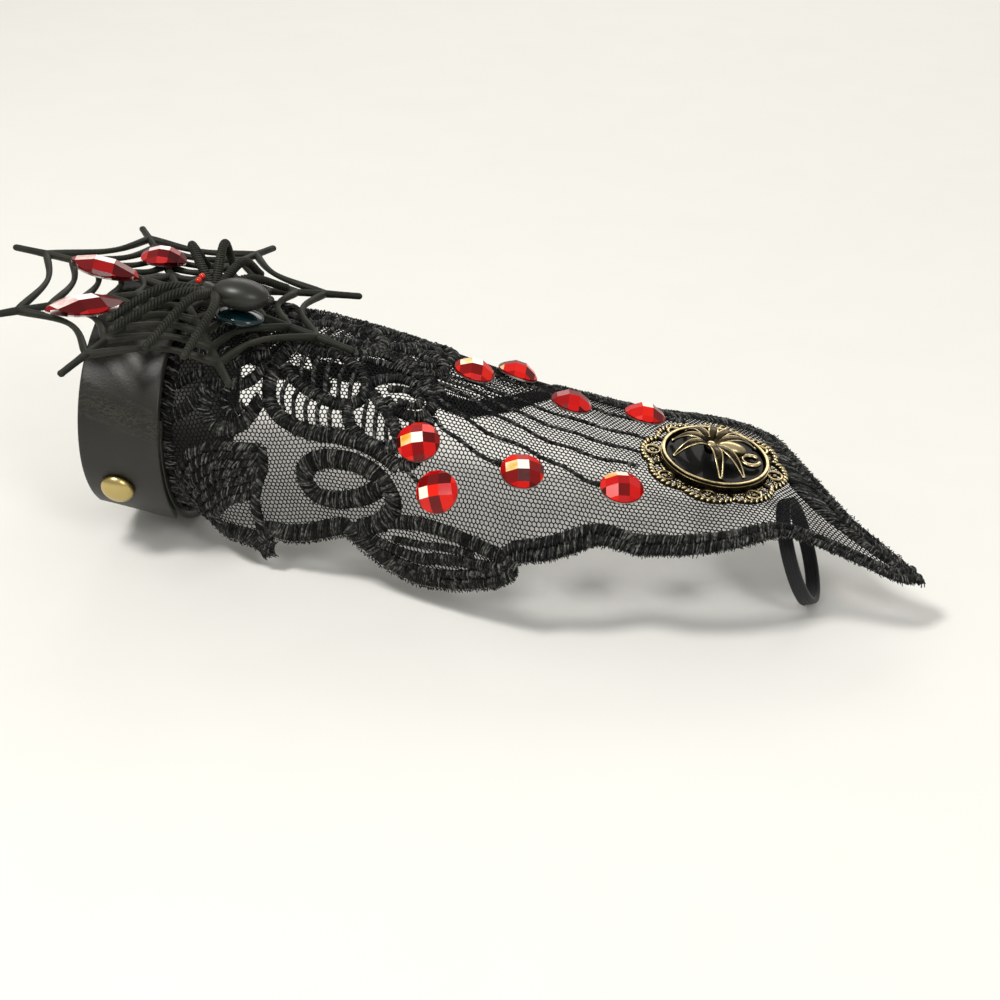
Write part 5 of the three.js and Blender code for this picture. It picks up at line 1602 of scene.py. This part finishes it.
def studio():
    """A pale floor under the cuff, even light all round and three soft lamps."""
    plane = bpy.data.meshes.new("floor")
    low = cad_box[0][2]
    corners = [(x * FLOOR_HALF, y * FLOOR_HALF, low) for x, y in ((-1, -1), (1, -1), (1, 1), (-1, 1))]
    plane.from_pydata(corners, [], [(0, 1, 2, 3)])
    floor = bpy.data.objects.new("floor", plane)
    bpy.context.collection.objects.link(floor)
    paper = Finish("pale_floor", Specular_IOR_Level=0.2)
    grain = paper.noise(60, 4)
    paper.set(Base_Color=paper.mix(grain, (0.8, 0.79, 0.75), (0.83, 0.82, 0.78)))
    paper.set(Roughness=0.75 + grain * 0.1)
    plane.materials.append(paper.material)
    world = bpy.data.worlds.new("studio")
    world.use_nodes = True
    background = world.node_tree.nodes["Background"]
    background.inputs["Color"].default_value = (1.0, 0.985, 0.94, 1)
    background.inputs["Strength"].default_value = 0.5
    bpy.context.scene.world = world
    bpy.context.scene.view_settings.view_transform = "Standard"
    for name, place, size, power, colour in LAMPS:
        lamp = bpy.data.lights.new(name, "AREA")
        lamp.shape = "RECTANGLE"
        lamp.size, lamp.size_y = size
        lamp.energy = power
        lamp.color = colour
        source = bpy.data.objects.new(name, lamp)
        source.location = place
        source.rotation_euler = (LAMP_TARGET - Vector(place)).to_track_quat("-Z", "Y").to_euler()
        bpy.context.collection.objects.link(source)


def camera():
    azimuth, elevation = math.radians(CAMERA_AZIMUTH), math.radians(CAMERA_ELEVATION)
    level = math.cos(elevation)
    view = Vector((-math.sin(azimuth) * level, math.cos(azimuth) * level, -math.sin(elevation)))
    lens = bpy.data.cameras.new("camera")
    lens.lens = CAMERA_LENS
    lens.sensor_width = 36
    lens.clip_start = 0.01
    lens.clip_end = 20
    place = bpy.data.objects.new("camera", lens)
    place.location = CAMERA_PLACE
    place.rotation_euler = view.to_track_quat("-Z", "Y").to_euler()
    bpy.context.collection.objects.link(place)
    bpy.context.scene.camera = place


# Assembly

def build():
    cast = cast_finish()
    # In each bronze finish the second colour is the painted highlight where it faces out of the setting.
    bronze = bronze_finish("bronze", (0.012, 0.009, 0.005), (0.75, 0.6, 0.31), 0.6, 1.05)
    foil = foil_finish()
    # Each stone ramp runs from dark red up to the warm and white of its painted reflections, and the stones'
    # emission is a painted glow.
    gem = [stone_finish(
        "red_stone", 0.12, (0.0, (0.05, 0.0002, 0.0004)), (0.3, (0.2, 0.0004, 0.0005)),
        (0.6, (0.5, 0.001, 0.001)), (0.9, (0.72, 0.012, 0.003)), (0.925, (0.85, 0.4, 0.04)),
        (0.96, (0.95, 0.85, 0.7)),
    ), foil]
    dark_gem = [stone_finish(
        "dark_red_stone", 0.05, (0.0, (0.04, 0.0002, 0.0006)), (0.35, (0.16, 0.0004, 0.002)),
        (0.8, (0.42, 0.001, 0.003)), (0.9, (0.55, 0.02, 0.02)), (0.94, (0.85, 0.7, 0.65)),
    ), foil]
    lace()
    strap(leather_finish())
    stud(brass_finish())
    lace_stones(gem)
    web_casting(cast)
    web_stones(dark_gem)
    spider(cast, abdomen_finish())
    spider_eyes(glass_finish("eye_bead", (0.5, 0.008, 0.002), (0.8, 0.03, 0.005), 0.5))
    spider_pad(glass_finish("teal_glass", (0.001, 0.006, 0.008), (0.002, 0.021, 0.024), 0.6))
    # The rope beads' bronze is painted bright as a highlight over most of their tops.
    beads = bronze_finish("bronze_painted_highlights", (0.03, 0.022, 0.01), (0.85, 0.7, 0.4), 0.25, 0.95)
    dark = bronze_finish("dark_bronze", (0.01, 0.008, 0.005), (0.16, 0.12, 0.055), 0.8, 1.2)
    filigree(bronze, beads, dark)
    disc(glass_finish("black_glass", (0.003, 0.003, 0.003), (0.008, 0.008, 0.007), 0.12, 0.4))
    charm(bronze_finish("charm_bronze", (0.02, 0.015, 0.007), (0.8, 0.65, 0.36), 0.3, 1.0), dark)
    finger_loop(elastic_finish())


build()
studio()
camera()
